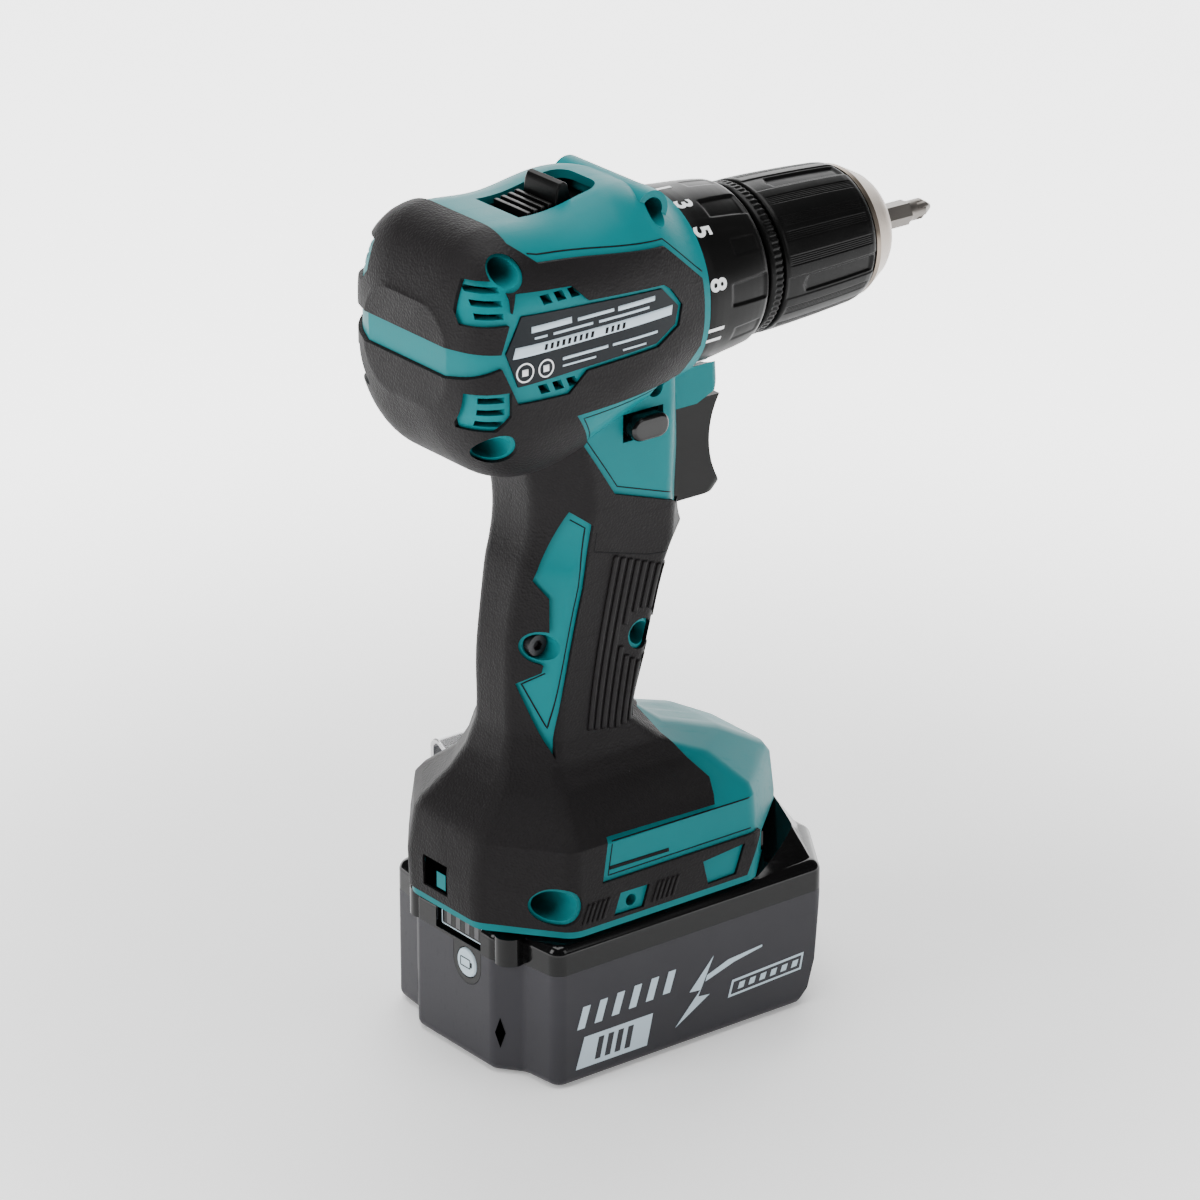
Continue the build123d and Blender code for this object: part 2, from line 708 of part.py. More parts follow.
with BuildPart() as spindle:
    add(turned([(7.0, 0), (7.0, 9.0), (12.0, 9.0), (12.0, 6.0), (48.0, 6.0), (48.0, 0)]))
write(spindle, "spindle")

ring_back, ring_front = 13.2, 36.4
with BuildPart() as torque_ring:
    add(turned([
        (ring_back, 21.4), (ring_back, 25.3), (16.0, 25.3), (30.0, 23.9), (34.6, 23.2), (36.0, 22.2),
        (ring_front, 21.2), (ring_front, 15.4), (34.8, 15.4), (33.6, 21.0), (31.0, 21.4),
    ]))
write(torque_ring, "torque_ring")


# ---- Speed selector ----------------------------------------------------------------------

plate_back, plate_front, plate_bottom, plate_top = -42.4, -7.0, 236.5, 238.5
with BuildPart() as speed_lever:
    add(block((plate_back, plate_front), (-10.4, 10.4), (plate_bottom, plate_top)))
    for i in range(4):
        ridge = -33.6 + 2.3 * i
        add(block((ridge, ridge + 1.3), (-7.6, 7.6), (plate_top, 241.0 + 0.35 * i)))
    fin = [(-24.4, plate_top), (-23.6, 245.0), (-22.8, 246.6), (-21.4, 247.0), (-20.2, 246.2), (-19.4, 243.0), (-17.6, plate_top)]
    add(slab(fin, -7.2, 7.2))
write(speed_lever, "speed_lever")

with BuildPart() as shift_wire:
    with BuildSketch(Plane.YZ.offset(-9.0)):
        with Locations((0, axis_z)):
            Circle(23.9)
            Circle(22.5, mode=Mode.SUBTRACT)
        with Locations((0, axis_z - 15.7)):
            Rectangle(60, 30, mode=Mode.SUBTRACT)
    extrude(amount=1.4)
    for sign in (-1, 1):
        add(block((-9.0, 1.6), sorted((22.4 * sign, 23.9 * sign)), (axis_z - 0.7, axis_z + 0.7)))
        add(block((0.2, 1.6), sorted((19.7 * sign, 23.9 * sign)), (axis_z - 0.7, axis_z + 0.7)))
    add(block((-9.0, -7.6), (-1.6, 1.6), (233.4, plate_bottom)))
write(shift_wire, "shift_wire")


# ---- Trigger, direction lever, switch and lamp -------------------------------------------

with BuildPart() as trigger:
    with BuildSketch(Plane.XZ.offset(-9.6)):
        with BuildLine():
            Line((12.4, 176.6), (29.6, 176.6))
            ThreePointArc((29.6, 176.6), (26.4, 160.0), (30.8, 149.6))
            Polyline((30.8, 149.6), (29.6, 148.4), (12.4, 148.4), (12.4, 176.6))
        make_face()
    extrude(amount=19.2)
    for end in (0, -1):
        fillet(trigger.faces().sort_by(Axis.Y)[end].edges().sort_by(Axis.X)[-1], 4.0)
    add(block((10.0, 24.0), (-7.4, 7.4), (150.6, 174.4)), mode=Mode.SUBTRACT)
    add(tube(1.9, 24.2, 2.6, 0.0, 0.0, 162.0))
write(trigger, "trigger")

with BuildPart() as switch_body:
    add(block((-21.0, 1.6), (-10.6, 10.6), (148.6, 174.6)))
    add(tube(-6.0, 2.0, 2.6 + gap, 0.0, 0.0, 162.0), mode=Mode.SUBTRACT)
write(switch_body, "switch_body")

with BuildPart() as direction_lever:
    with BuildSketch(Plane.XZ.offset(-25.4)):
        with Locations((lever_x, lever_z)):
            RectangleRounded(lever_length, lever_height, 3.4)
    extrude(amount=50.8)
    fillet(direction_lever.faces().sort_by(Axis.Y)[0].edges(), 1.2)
    fillet(direction_lever.faces().sort_by(Axis.Y)[-1].edges(), 1.2)
write(direction_lever, "direction_lever")

with BuildPart() as lamp_lens:
    add(block((22.4, 26.0), (-2.2, 2.2), (178.6, 182.2)))
write(lamp_lens, "lamp_lens")

with BuildPart() as controller:
    add(block((-30.0, 20.0), (-19.0, 19.0), (61.0, 69.0)))
    with BuildSketch(Plane.XY.offset(69.0)):
        with GridLocations(12.0, 0, 3, 1):
            Circle(3.2)
    extrude(amount=5.0)
write(controller, "controller")

with BuildPart() as terminal_block:
    add(block((channel_back + 2.8, -5.4), (-18.6, 18.6), (53.6, 58.0)))
write(terminal_block, "terminal_block")

blade_spots = (-14.0, 0.0, 14.0)
with BuildPart() as terminal_blades:
    for y in blade_spots:
        add(block((-31.0, -14.0), (y - 0.4, y + 0.4), (48.2, 53.6)))
write(terminal_blades, "terminal_blades")


# ---- Chuck -------------------------------------------------------------------------------

sleeve_inner = 17.8
with BuildPart() as chuck_ring:
    add(tube(38.0, 42.7, 21.5, 17.0))
    chamfer(chuck_ring.edges().filter_by(GeomType.CIRCLE).sort_by(SortBy.RADIUS)[-2:], 0.5)
write(chuck_ring, "chuck_ring")


def jaw_frame(k):
    """Plane at the tip of one jaw, with its normal pointing back along the jaw."""
    turn = math.radians(120 * k + 90)
    out = Vector(0, math.cos(turn), math.sin(turn))
    tilt = math.radians(jaw_tilt)
    tip = Vector(jaw_tip_x, 0, axis_z) + out * jaw_tip_offset
    back = Vector(-math.cos(tilt), 0, 0) + out * math.sin(tilt)
    return Plane(origin=tip, x_dir=out, z_dir=back), out


nut_back, nut_front = 61.5, 67.5
nose_front = 86.2
with BuildPart() as chuck_body:
    add(turned([
        (37.6, 0), (37.6, 17.0), (43.0, 17.0), (43.0, 15.8), (nut_back - 0.3, 15.8), (nut_back - 0.3, 11.2),
        (nut_front + 0.3, 11.2), (nut_front + 0.3, 15.8), (73.0, 15.8), (73.0, 17.5), (77.0, 17.5),
        (77.0, 18.7), (78.4, 18.7), (84.6, 15.4), (nose_front, 14.05), (nose_front, 0),
    ]))
    add(tube(37.0, 48.0, 6.0), mode=Mode.SUBTRACT)
    for k in range(3):
        plane, out = jaw_frame(k)
        with BuildSketch(plane.offset(-8.0)):
            Circle(jaw_radius + running)
        extrude(amount=52.0, mode=Mode.SUBTRACT)
    add(tube(50.0, 90.0, 6.5), mode=Mode.SUBTRACT)
write(chuck_body, "chuck_body")

jaw_length = 25.8
for k in range(3):
    plane, out = jaw_frame(k)
    across = Vector(1, 0, 0).cross(out)
    with BuildPart() as jaw:
        with BuildSketch(plane.offset(-2.0)):
            Circle(jaw_radius)
        extrude(amount=jaw_length + 2.0)
        cut_plane = Plane(origin=(0, 0, axis_z), x_dir=(1, 0, 0), z_dir=out)
        with BuildSketch(cut_plane.offset(bit_flat + running)):
            with Locations((70, 0)):
                Rectangle(80, 30)
        extrude(amount=-20, mode=Mode.SUBTRACT)
        for sign in (-1, 1):
            lean = out * math.cos(math.radians(33)) + across * (sign * math.sin(math.radians(33)))
            side_plane = Plane(origin=Vector(0, 0, axis_z) + out * 1.2, x_dir=(1, 0, 0), z_dir=lean)
            with BuildSketch(side_plane):
                with Locations((70, 0)):
                    Rectangle(80, 40)
            extrude(amount=-20, mode=Mode.SUBTRACT)
        add(block((jaw_tip_x, 120), (-40, 40), (150, 260)), mode=Mode.SUBTRACT)
    write(jaw, f"jaw_{k + 1}")

with BuildPart() as split_nut:
    taper = math.tan(math.radians(jaw_tilt))
    over = jaw_tip_offset + jaw_radius / math.cos(math.radians(jaw_tilt)) + 0.25
    back_bore = over + (jaw_tip_x - nut_back) * taper
    front_bore = over + (jaw_tip_x - nut_front) * taper
    add(turned([(nut_back, back_bore), (nut_back, sleeve_inner), (nut_front, sleeve_inner), (nut_front, front_bore)]))
write(split_nut, "split_nut")

sleeve_back, sleeve_front = 43.2, 76.7
with BuildPart() as chuck_sleeve:
    add(turned([
        (sleeve_back, sleeve_inner), (sleeve_back, 20.9), (sleeve_back + 0.8, 21.5), (52.0, 21.3),
        (72.0, 20.0), (75.6, 19.6), (sleeve_front, 18.9), (sleeve_front, sleeve_inner),
    ]))
    for k in range(6):
        with BuildSketch(Plane.YZ.offset(52.5)):
            with Locations((0, axis_z)):
                with Locations(Location((0, 0), 60 * k + 30)):
                    with Locations((21.2, 0)):
                        Rectangle(1.2, 2.2)
        extrude(amount=22.0, mode=Mode.SUBTRACT)
write(chuck_sleeve, "chuck_sleeve")

with BuildPart() as screw_bit:
    with BuildSketch(Plane.YZ.offset(78.0)):
        with Locations((0, axis_z)):
            RegularPolygon(bit_flat, 6, major_radius=False, rotation=0)
    extrude(amount=24.6)
    add(turned([(102.0, 0), (102.0, 3.2), (104.0, 2.9), (108.0, 2.9), (111.2, 0.9), (111.8, 0.0)]))
    with BuildSketch(Plane.YZ.offset(105.4)):
        with Locations((0, axis_z)):
            with PolarLocations(2.75, 4, start_angle=45):
                Circle(1.15)
    extrude(amount=9.0, mode=Mode.SUBTRACT)
write(screw_bit, "screw_bit")


# ---- Battery -----------------------------------------------------------------------------

battery_corner = 44.8
battery_outline = mirrored([
    (-54.4, -17.0), (-48.8, -24.4), (-47.3, -battery_half), (battery_corner, -battery_half), (58.0, -16.5),
])
inner_outline = mirrored([(-46.1, -35.2), (43.7, -35.2), (54.8, -17.8)])


def tongue(grow, start, end):
    """The round tongue under the charge gauge that carries the check button."""
    with BuildPart() as piece:
        with BuildSketch(Plane.YZ.offset(start)):
            with Locations((check_y, check_z)):
                Circle(6.2 + grow)
            with Locations((check_y, (check_z + seam_z + 2) / 2)):
                Rectangle(2 * (6.2 + grow), seam_z + 2 - check_z)
        extrude(amount=end - start)
    return piece.part


def chin(inset):
    """What the two inward-sloping front faces cut away, moved inwards by an inset."""
    with BuildPart() as piece:
        for side in (-1, 1):
            out = Vector(0.844, side * 0.537, 0)
            corner = Vector(battery_corner, side * battery_half, 0) - out * inset
            face = Plane(origin=corner, x_dir=out, z_dir=Vector(side * 0.537, -0.844, 0))
            level = face.from_local_coords((0, 1, 0)).Z
            outline = [(0, seam_z), (-1.6, 12.8), (-3.6, 4.5), (-6.4, 1.2), (-7.6, -1), (60, -1), (60, seam_z)]
            with BuildSketch(face):
                Polygon(*[(across, up * level) for across, up in outline], align=None)
            extrude(amount=70, both=True)
    return piece.part


def inner_space(low, high):
    """The room for the cells, which follows the sloping lower front."""
    with BuildPart() as room:
        add(plan_prism(inner_outline, low, high, 2.0))
        add(chin(1.3), mode=Mode.SUBTRACT)
    return room.part


check_radius = 4.2
with BuildPart() as battery_case:
    add(plan_prism(battery_outline, 0, seam_z, 4.0))
    fillet(battery_case.faces().sort_by(Axis.Z)[0].edges(), 2.6)
    add(chin(0), mode=Mode.SUBTRACT)
    add(inner_space(2.2, seam_z + 1), mode=Mode.SUBTRACT)
    add(tongue(0.15, -60.0, -51.4), mode=Mode.SUBTRACT)
    add(tube(-60.0, -49.4, check_radius + gap, 0.0, check_y, check_z), mode=Mode.SUBTRACT)
write(battery_case, "battery_case")

rail_back, rail_front = channel_back + 0.5, 30.0
rail_neck, rail_lip = channel_mouth - 0.4, channel_half - 0.5
lip_low, lip_high = ledge_top + 0.4, channel_roof - 0.5
button_half = 11.0
button_side = [(41.0, lip_high), (44.6, lip_high), (44.6, 50.9), (48.6, 50.9), (58.4, 39.7), (41.0, 39.7)]
with BuildPart() as rising_front:
    with BuildSketch(Plane.XY.offset(38.0)):
        Polygon(*mirrored([(22.0, -36.4), (45.2, -36.4), (57.8, -16.0)]), align=None)
        fillet(vertices(), 2.5)
    with BuildSketch(Plane.XY.offset(54.0)):
        Polygon(*mirrored([(22.0, -33.6), (40.6, -27.0), (46.6, -13.0)]), align=None)
        fillet(vertices(), 2.5)
    loft()
    slope = (nose_edge_high[1] - nose_edge_low[1]) / (nose_edge_high[0] - nose_edge_low[0])
    start_z, end_z = nose_edge_low[1] - 0.5, nose_edge_low[1] - 0.5 + slope * 50
    under = [(nose_edge_low[0], start_z), (nose_edge_low[0] + 50, end_z), (nose_edge_low[0] + 50, 90), (0, 90), (0, start_z)]
    add(slab(under, -50, 50), mode=Mode.SUBTRACT)

with BuildPart() as battery_cover:
    add(plan_prism(battery_outline, seam_z, battery_top, 4.0))
    fillet(battery_cover.faces().sort_by(Axis.Z)[-1].edges(), 3.2)
    add(rising_front.part)
    for sign in (-1, 1):
        with BuildSketch(Plane.XY.offset(seam_z)):
            with Locations((-50.6, sign * 19.4 + gauge_y / 2)):
                Circle(4.2)
        extrude(amount=battery_top - seam_z - 0.6)
    add(inner_space(seam_z - 1, 40.4), mode=Mode.SUBTRACT)
    add(block((rail_back, rail_front), (-rail_neck, rail_neck), (40.4, lip_low + 1)))
    add(block((rail_back, rail_front), (-rail_lip, rail_lip), (lip_low, lip_high)))
    add(block((rail_back + 3, 22.0), (-22.5, 22.5), (40.3, 50.6)), mode=Mode.SUBTRACT)
    for y in blade_spots:
        add(block((rail_back - 1, -12.0), (y - 0.9, y + 0.9), (47.6, 60)), mode=Mode.SUBTRACT)
    add(slab([(40.7, 60), (40.7, 35.6), (70, 35.6), (70, 60)], -button_half - gap, button_half + gap), mode=Mode.SUBTRACT)
    add(tongue(0.0, -54.4, -51.5))
    add(tube(-60.0, -49.4, check_radius + gap, 0.0, check_y, check_z), mode=Mode.SUBTRACT)
    add(block((-60, -52.0), (gauge_y - 10.2, gauge_y + 10.2), (gauge_z - 3.6, gauge_z + 3.4)), mode=Mode.SUBTRACT)
write(battery_cover, "battery_cover")

with BuildPart() as release_button:
    add(slab(button_side, -button_half, button_half))
    for k in range(3):
        groove_x, groove_z = 51.2 + 2.4 * k, 48.6 - 2.75 * k
        add(block((groove_x, groove_x + 1.0), (-8, 8), (groove_z - 1.0, groove_z + 2.0)), mode=Mode.SUBTRACT)
write(release_button, "release_button")

with BuildPart() as charge_gauge:
    add(block((-53.0, -52.0), (gauge_y - 10.0, gauge_y + 10.0), (gauge_z - 3.4, gauge_z + 3.2)))
write(charge_gauge, "charge_gauge")

with BuildPart() as check_button:
    add(tube(-54.8, -50.6, check_radius, 0.0, check_y, check_z))
    chamfer(check_button.faces().sort_by(Axis.X)[0].edges(), 0.4)
write(check_button, "check_button")

cell_pitch = 18.06
row_heights = (11.4, 29.5)
cell_columns = [-37.05 + cell_pitch * i for i in range(5)]
with BuildPart() as battery_cells:
    for z in row_heights:
        for x in cell_columns:
            add(peg(x, z, cell_radius, -cell_length / 2, cell_length / 2))
write(battery_cells, "battery_cells")

with BuildPart() as cell_holder:
    for low, high in ((-34.2, -32.6), (32.6, 34.2)):
        add(block((-44.6, 46.0), (low, high), (3.0, 39.6)))
        for z in row_heights:
            for x in cell_columns:
                add(peg(x, z, 5.0, low - 1, high + 1), mode=Mode.SUBTRACT)
    add(inner_space(2.6, 40.0), mode=Mode.INTERSECT)
write(cell_holder, "cell_holder")

with BuildPart() as battery_board:
    add(block((rail_back + 4, 21.0), (-21.5, 21.5), (43.0, 44.6)))
write(battery_board, "battery_board")

with BuildPart() as battery_terminals:
    for y in blade_spots:
        for sign in (-1, 1):
            near, far = y + sign * 0.6, y + sign * 1.6
            add(block((-28.0, -15.0), sorted((near, far)), (44.6, 50.4)))
write(battery_terminals, "battery_terminals")
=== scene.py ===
import math

import bpy
import numpy as np
from mathutils import Matrix, Vector


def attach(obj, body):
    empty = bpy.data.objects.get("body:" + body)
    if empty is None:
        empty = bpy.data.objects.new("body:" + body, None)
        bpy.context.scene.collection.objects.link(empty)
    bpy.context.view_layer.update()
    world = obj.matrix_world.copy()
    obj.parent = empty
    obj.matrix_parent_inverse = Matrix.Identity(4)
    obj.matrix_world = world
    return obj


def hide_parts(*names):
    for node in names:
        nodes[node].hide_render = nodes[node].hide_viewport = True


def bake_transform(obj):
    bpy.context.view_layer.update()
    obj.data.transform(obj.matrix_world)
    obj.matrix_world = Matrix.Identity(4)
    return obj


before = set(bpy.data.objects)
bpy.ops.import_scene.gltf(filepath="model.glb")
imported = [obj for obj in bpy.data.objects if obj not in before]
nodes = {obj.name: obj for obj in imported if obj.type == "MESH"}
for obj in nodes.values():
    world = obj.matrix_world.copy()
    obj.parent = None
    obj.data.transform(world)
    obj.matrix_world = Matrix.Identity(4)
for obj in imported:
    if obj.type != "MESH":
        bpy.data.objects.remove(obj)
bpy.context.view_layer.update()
axisZ = 0.2101  # height of the spindle axis
mm = 0.001


# camera, floor and light

cameraSetup = {"place": (-0.93894, -1.21005, 0.76867), "right": (0.79128, -0.61145, 0.0),
               "back": (-0.56302, -0.72866, 0.38995), "lens": 182.84, "sensor": 36.0, "farClip": 20}


def addCamera(spec):
    right, back = Vector(spec["right"]), Vector(spec["back"])
    turn = Matrix((right, back.cross(right), back)).transposed().to_4x4()
    data = bpy.data.cameras.new("camera")
    data.lens, data.sensor_width, data.clip_end = spec["lens"], spec["sensor"], spec["farClip"]
    camera = bpy.data.objects.new("camera", data)
    camera.matrix_world = Matrix.Translation(spec["place"]) @ turn
    bpy.context.scene.collection.objects.link(camera)
    bpy.context.scene.camera = camera


lightSetup = {
    "overhead": {"place": (0.0, 0.1, 1.5), "target": (0, 0, 0.1), "size": (1.3, 1.3), "power": 30},
    "leftSide": {"place": (-1.5, 0.3, 0.9), "target": (0, 0, 0.15), "size": (0.7, 1.0), "power": 15},
    "rightSide": {"place": (0.6, -1.5, 0.9), "target": (0, 0, 0.12), "size": (0.7, 0.9), "power": 5},
    "behind": {"place": (1.2, 1.2, 0.9), "target": (0, 0, 0.15), "size": (1.2, 0.9), "power": 3},
}
worldStrength = 0.12


def addLight(name, place, target, size, power):
    data = bpy.data.lights.new(name, "AREA")
    data.shape, data.size, data.size_y = "RECTANGLE", size[0], size[1]
    data.energy, data.color = power, (1, 1, 1)
    light = bpy.data.objects.new(name, data)
    light.location = place
    light.rotation_euler = (Vector(target) - Vector(place)).to_track_quat("-Z", "Y").to_euler()
    bpy.context.scene.collection.objects.link(light)


# node helpers

def put(tree, kind, settings=None, values=None):
    item = tree.nodes.new(kind)
    for key, value in (settings or {}).items():
        setattr(item, key, value)
    for key, value in (values or {}).items():
        item.inputs[key].default_value = value
    return item


def newGroup(name, inputs, outputs):
    tree = bpy.data.node_groups.new(name, "ShaderNodeTree")
    for label, value in inputs.items():
        socket = tree.interface.new_socket(label, in_out="INPUT", socket_type="NodeSocketFloat")
        socket.default_value = value
    for label in outputs:
        tree.interface.new_socket(label, in_out="OUTPUT", socket_type="NodeSocketFloat")
    start = tree.nodes.new("NodeGroupInput")
    end = tree.nodes.new("NodeGroupOutput")
    return tree, start, end


def addGrain():
    # fine moulded texture: cell noise and soft noise together, as a height
    tree, start, end = newGroup("grain", {"Scale": 900.0, "Cells": 0.5}, ["Height"])
    link = tree.links.new
    where = put(tree, "ShaderNodeTexCoord")
    cells = put(tree, "ShaderNodeTexVoronoi", {"feature": "SMOOTH_F1"}, {"Smoothness": 0.6})
    soft = put(tree, "ShaderNodeTexNoise", {}, {"Detail": 3.0, "Roughness": 0.6})
    mix = put(tree, "ShaderNodeMix", {"data_type": "FLOAT"})
    link(where.outputs["Object"], cells.inputs["Vector"])
    link(where.outputs["Object"], soft.inputs["Vector"])
    link(start.outputs["Scale"], cells.inputs["Scale"])
    link(start.outputs["Scale"], soft.inputs["Scale"])
    link(start.outputs["Cells"], mix.inputs["Factor"])
    link(soft.outputs["Fac"], mix.inputs["A"])
    link(cells.outputs["Distance"], mix.inputs["B"])
    link(mix.outputs["Result"], end.inputs["Height"])
    return tree


def addHandling():
    # slow cloudy variation and sparse specks from use: a smudge mask and a speck mask
    tree, start, end = newGroup("handling", {"Scale": 35.0}, ["Smudge", "Specks"])
    link = tree.links.new
    where = put(tree, "ShaderNodeTexCoord")
    cloud = put(tree, "ShaderNodeTexNoise", {}, {"Detail": 4.0, "Roughness": 0.55})
    shape = put(tree, "ShaderNodeMapRange", {}, {"From Min": 0.35, "From Max": 0.7})
    dots = put(tree, "ShaderNodeTexVoronoi", {"feature": "F1"}, {"Scale": 260.0})
    cut = put(tree, "ShaderNodeMapRange", {}, {"From Min": 0.05, "From Max": 0.02})
    few = put(tree, "ShaderNodeTexNoise", {}, {"Scale": 90.0, "Detail": 1.0})
    gate = put(tree, "ShaderNodeMapRange", {}, {"From Min": 0.58, "From Max": 0.66})
    both = put(tree, "ShaderNodeMath", {"operation": "MULTIPLY"})
    for item in (cloud, dots, few):
        link(where.outputs["Object"], item.inputs["Vector"])
    link(start.outputs["Scale"], cloud.inputs["Scale"])
    link(cloud.outputs["Fac"], shape.inputs["Value"])
    link(dots.outputs["Distance"], cut.inputs["Value"])
    link(few.outputs["Fac"], gate.inputs["Value"])
    link(cut.outputs["Result"], both.inputs[0])
    link(gate.outputs["Result"], both.inputs[1])
    link(shape.outputs["Result"], end.inputs["Smudge"])
    link(both.outputs["Value"], end.inputs["Specks"])
    return tree


def addScuff():
    # fine crossing hairlines, as a mask
    tree, start, end = newGroup("scuff", {"Amount": 0.5}, ["Mask"])
    link = tree.links.new
    where = put(tree, "ShaderNodeTexCoord")
    lines = []
    for turn in (0.5, 1.9):
        spin = put(tree, "ShaderNodeMapping", {}, {"Rotation": (turn, turn * 0.7, turn), "Scale": (14, 900, 300)})
        line = put(tree, "ShaderNodeTexNoise", {}, {"Scale": 1.0, "Detail": 2.0})
        sharp = put(tree, "ShaderNodeMapRange", {}, {"From Min": 0.64, "From Max": 0.7})
        link(where.outputs["Object"], spin.inputs["Vector"])
        link(spin.outputs["Vector"], line.inputs["Vector"])
        link(line.outputs["Fac"], sharp.inputs["Value"])
        lines.append(sharp)
    most = put(tree, "ShaderNodeMath", {"operation": "MAXIMUM"})
    scale = put(tree, "ShaderNodeMath", {"operation": "MULTIPLY"})
    link(lines[0].outputs["Result"], most.inputs[0])
    link(lines[1].outputs["Result"], most.inputs[1])
    link(most.outputs["Value"], scale.inputs[0])
    link(start.outputs["Amount"], scale.inputs[1])
    link(scale.outputs["Value"], end.inputs["Mask"])
    return tree


def addTurned():
    # fine circular machining marks about the spindle axis, as a height
    tree, start, end = newGroup("turned", {"Pitch": 900.0}, ["Height"])
    link = tree.links.new
    where = put(tree, "ShaderNodeTexCoord")
    split = put(tree, "ShaderNodeSeparateXYZ")
    ring = put(tree, "ShaderNodeTexNoise", {"noise_dimensions": "1D"}, {"Detail": 2.0})
    link(where.outputs["Object"], split.inputs["Vector"])
    link(split.outputs["X"], ring.inputs["W"])
    link(start.outputs["Pitch"], ring.inputs["Scale"])
    link(ring.outputs["Fac"], end.inputs["Height"])
    return tree


groups = {"grain": addGrain(), "handling": addHandling(), "scuff": addScuff(), "turned": addTurned()}


def makeMaterial(name, look):
    material = bpy.data.materials.new(name)
    material.use_nodes = True
    tree = material.node_tree
    tree.nodes.clear()
    link = tree.links.new
    out = tree.nodes.new("ShaderNodeOutputMaterial")
    shader = put(tree, "ShaderNodeBsdfPrincipled", {}, {
        "Metallic": look.get("metallic", 0.0), "IOR": look.get("ior", 1.5),
        "Coat Weight": look.get("coat", 0.0), "Coat Roughness": look.get("coatRough", 0.05),
        "Specular IOR Level": look.get("specular", 0.5), "Alpha": look.get("alpha", 1.0),
        "Transmission Weight": look.get("clear", 0.0)})
    use = put(tree, "ShaderNodeGroup", {"node_tree": groups["handling"]}, {"Scale": look.get("cloud", 35.0)})
    rub = put(tree, "ShaderNodeGroup", {"node_tree": groups["scuff"]}, {"Amount": look.get("scuff", 0.25)})
    colour = look["colour"]
    shade = [c * look.get("shade", 0.86) for c in colour]
    tone = put(tree, "ShaderNodeMix", {"data_type": "RGBA"})
    tone.inputs["A"].default_value = (*shade, 1)
    tone.inputs["B"].default_value = (*colour, 1)
    link(use.outputs["Smudge"], tone.inputs["Factor"])
    dust = put(tree, "ShaderNodeMix", {"data_type": "RGBA"})
    pale = [min(1, c * 0.6 + look.get("dust", 0.06)) for c in colour]
    dust.inputs["B"].default_value = (*pale, 1)
    reach = put(tree, "ShaderNodeMath", {"operation": "MULTIPLY"}, {1: look.get("speck", 0.35)})
    link(use.outputs["Specks"], reach.inputs[0])
    link(reach.outputs["Value"], dust.inputs["Factor"])
    link(tone.outputs["Result"], dust.inputs["A"])
    link(dust.outputs["Result"], shader.inputs["Base Color"])
    rough = put(tree, "ShaderNodeMapRange", {}, {"To Min": look["rough"] * 0.88, "To Max": look["rough"] * 1.1})
    scratch = put(tree, "ShaderNodeMath", {"operation": "MULTIPLY_ADD", "use_clamp": True}, {1: 0.25})
    link(use.outputs["Smudge"], rough.inputs["Value"])
    link(rub.outputs["Mask"], scratch.inputs[0])
    link(rough.outputs["Result"], scratch.inputs[2])
    link(scratch.outputs["Value"], shader.inputs["Roughness"])
    if look.get("bump"):
        field = look.get("field", "grain")
        sizes = {"Scale": look.get("scale", 900.0), "Cells": look.get("cells", 0.5)}
        if field == "turned":
            sizes = {"Pitch": look.get("scale", 900.0)}
        height = put(tree, "ShaderNodeGroup", {"node_tree": groups[field]}, sizes)
        bump = put(tree, "ShaderNodeBump", {}, {"Strength": look["bump"], "Distance": look.get("deep", 0.0002)})
        link(height.outputs["Height"], bump.inputs["Height"])
        link(bump.outputs["Normal"], shader.inputs["Normal"])
    if look.get("glow"):
        # the backdrop is brighter further from the middle, so the tool stands in a soft pool of shade
        where = put(tree, "ShaderNodeTexCoord")
        far = put(tree, "ShaderNodeVectorMath", {"operation": "LENGTH"})
        rise = put(tree, "ShaderNodeMapRange", {"interpolation_type": "SMOOTHSTEP"}, look["pool"])
        link(where.outputs["Object"], far.inputs[0])
        link(far.outputs["Value"], rise.inputs["Value"])
        link(rise.outputs["Result"], shader.inputs["Emission Color"])
        shader.inputs["Emission Strength"].default_value = look["glow"]
    link(shader.outputs["BSDF"], out.inputs["Surface"])
    return material


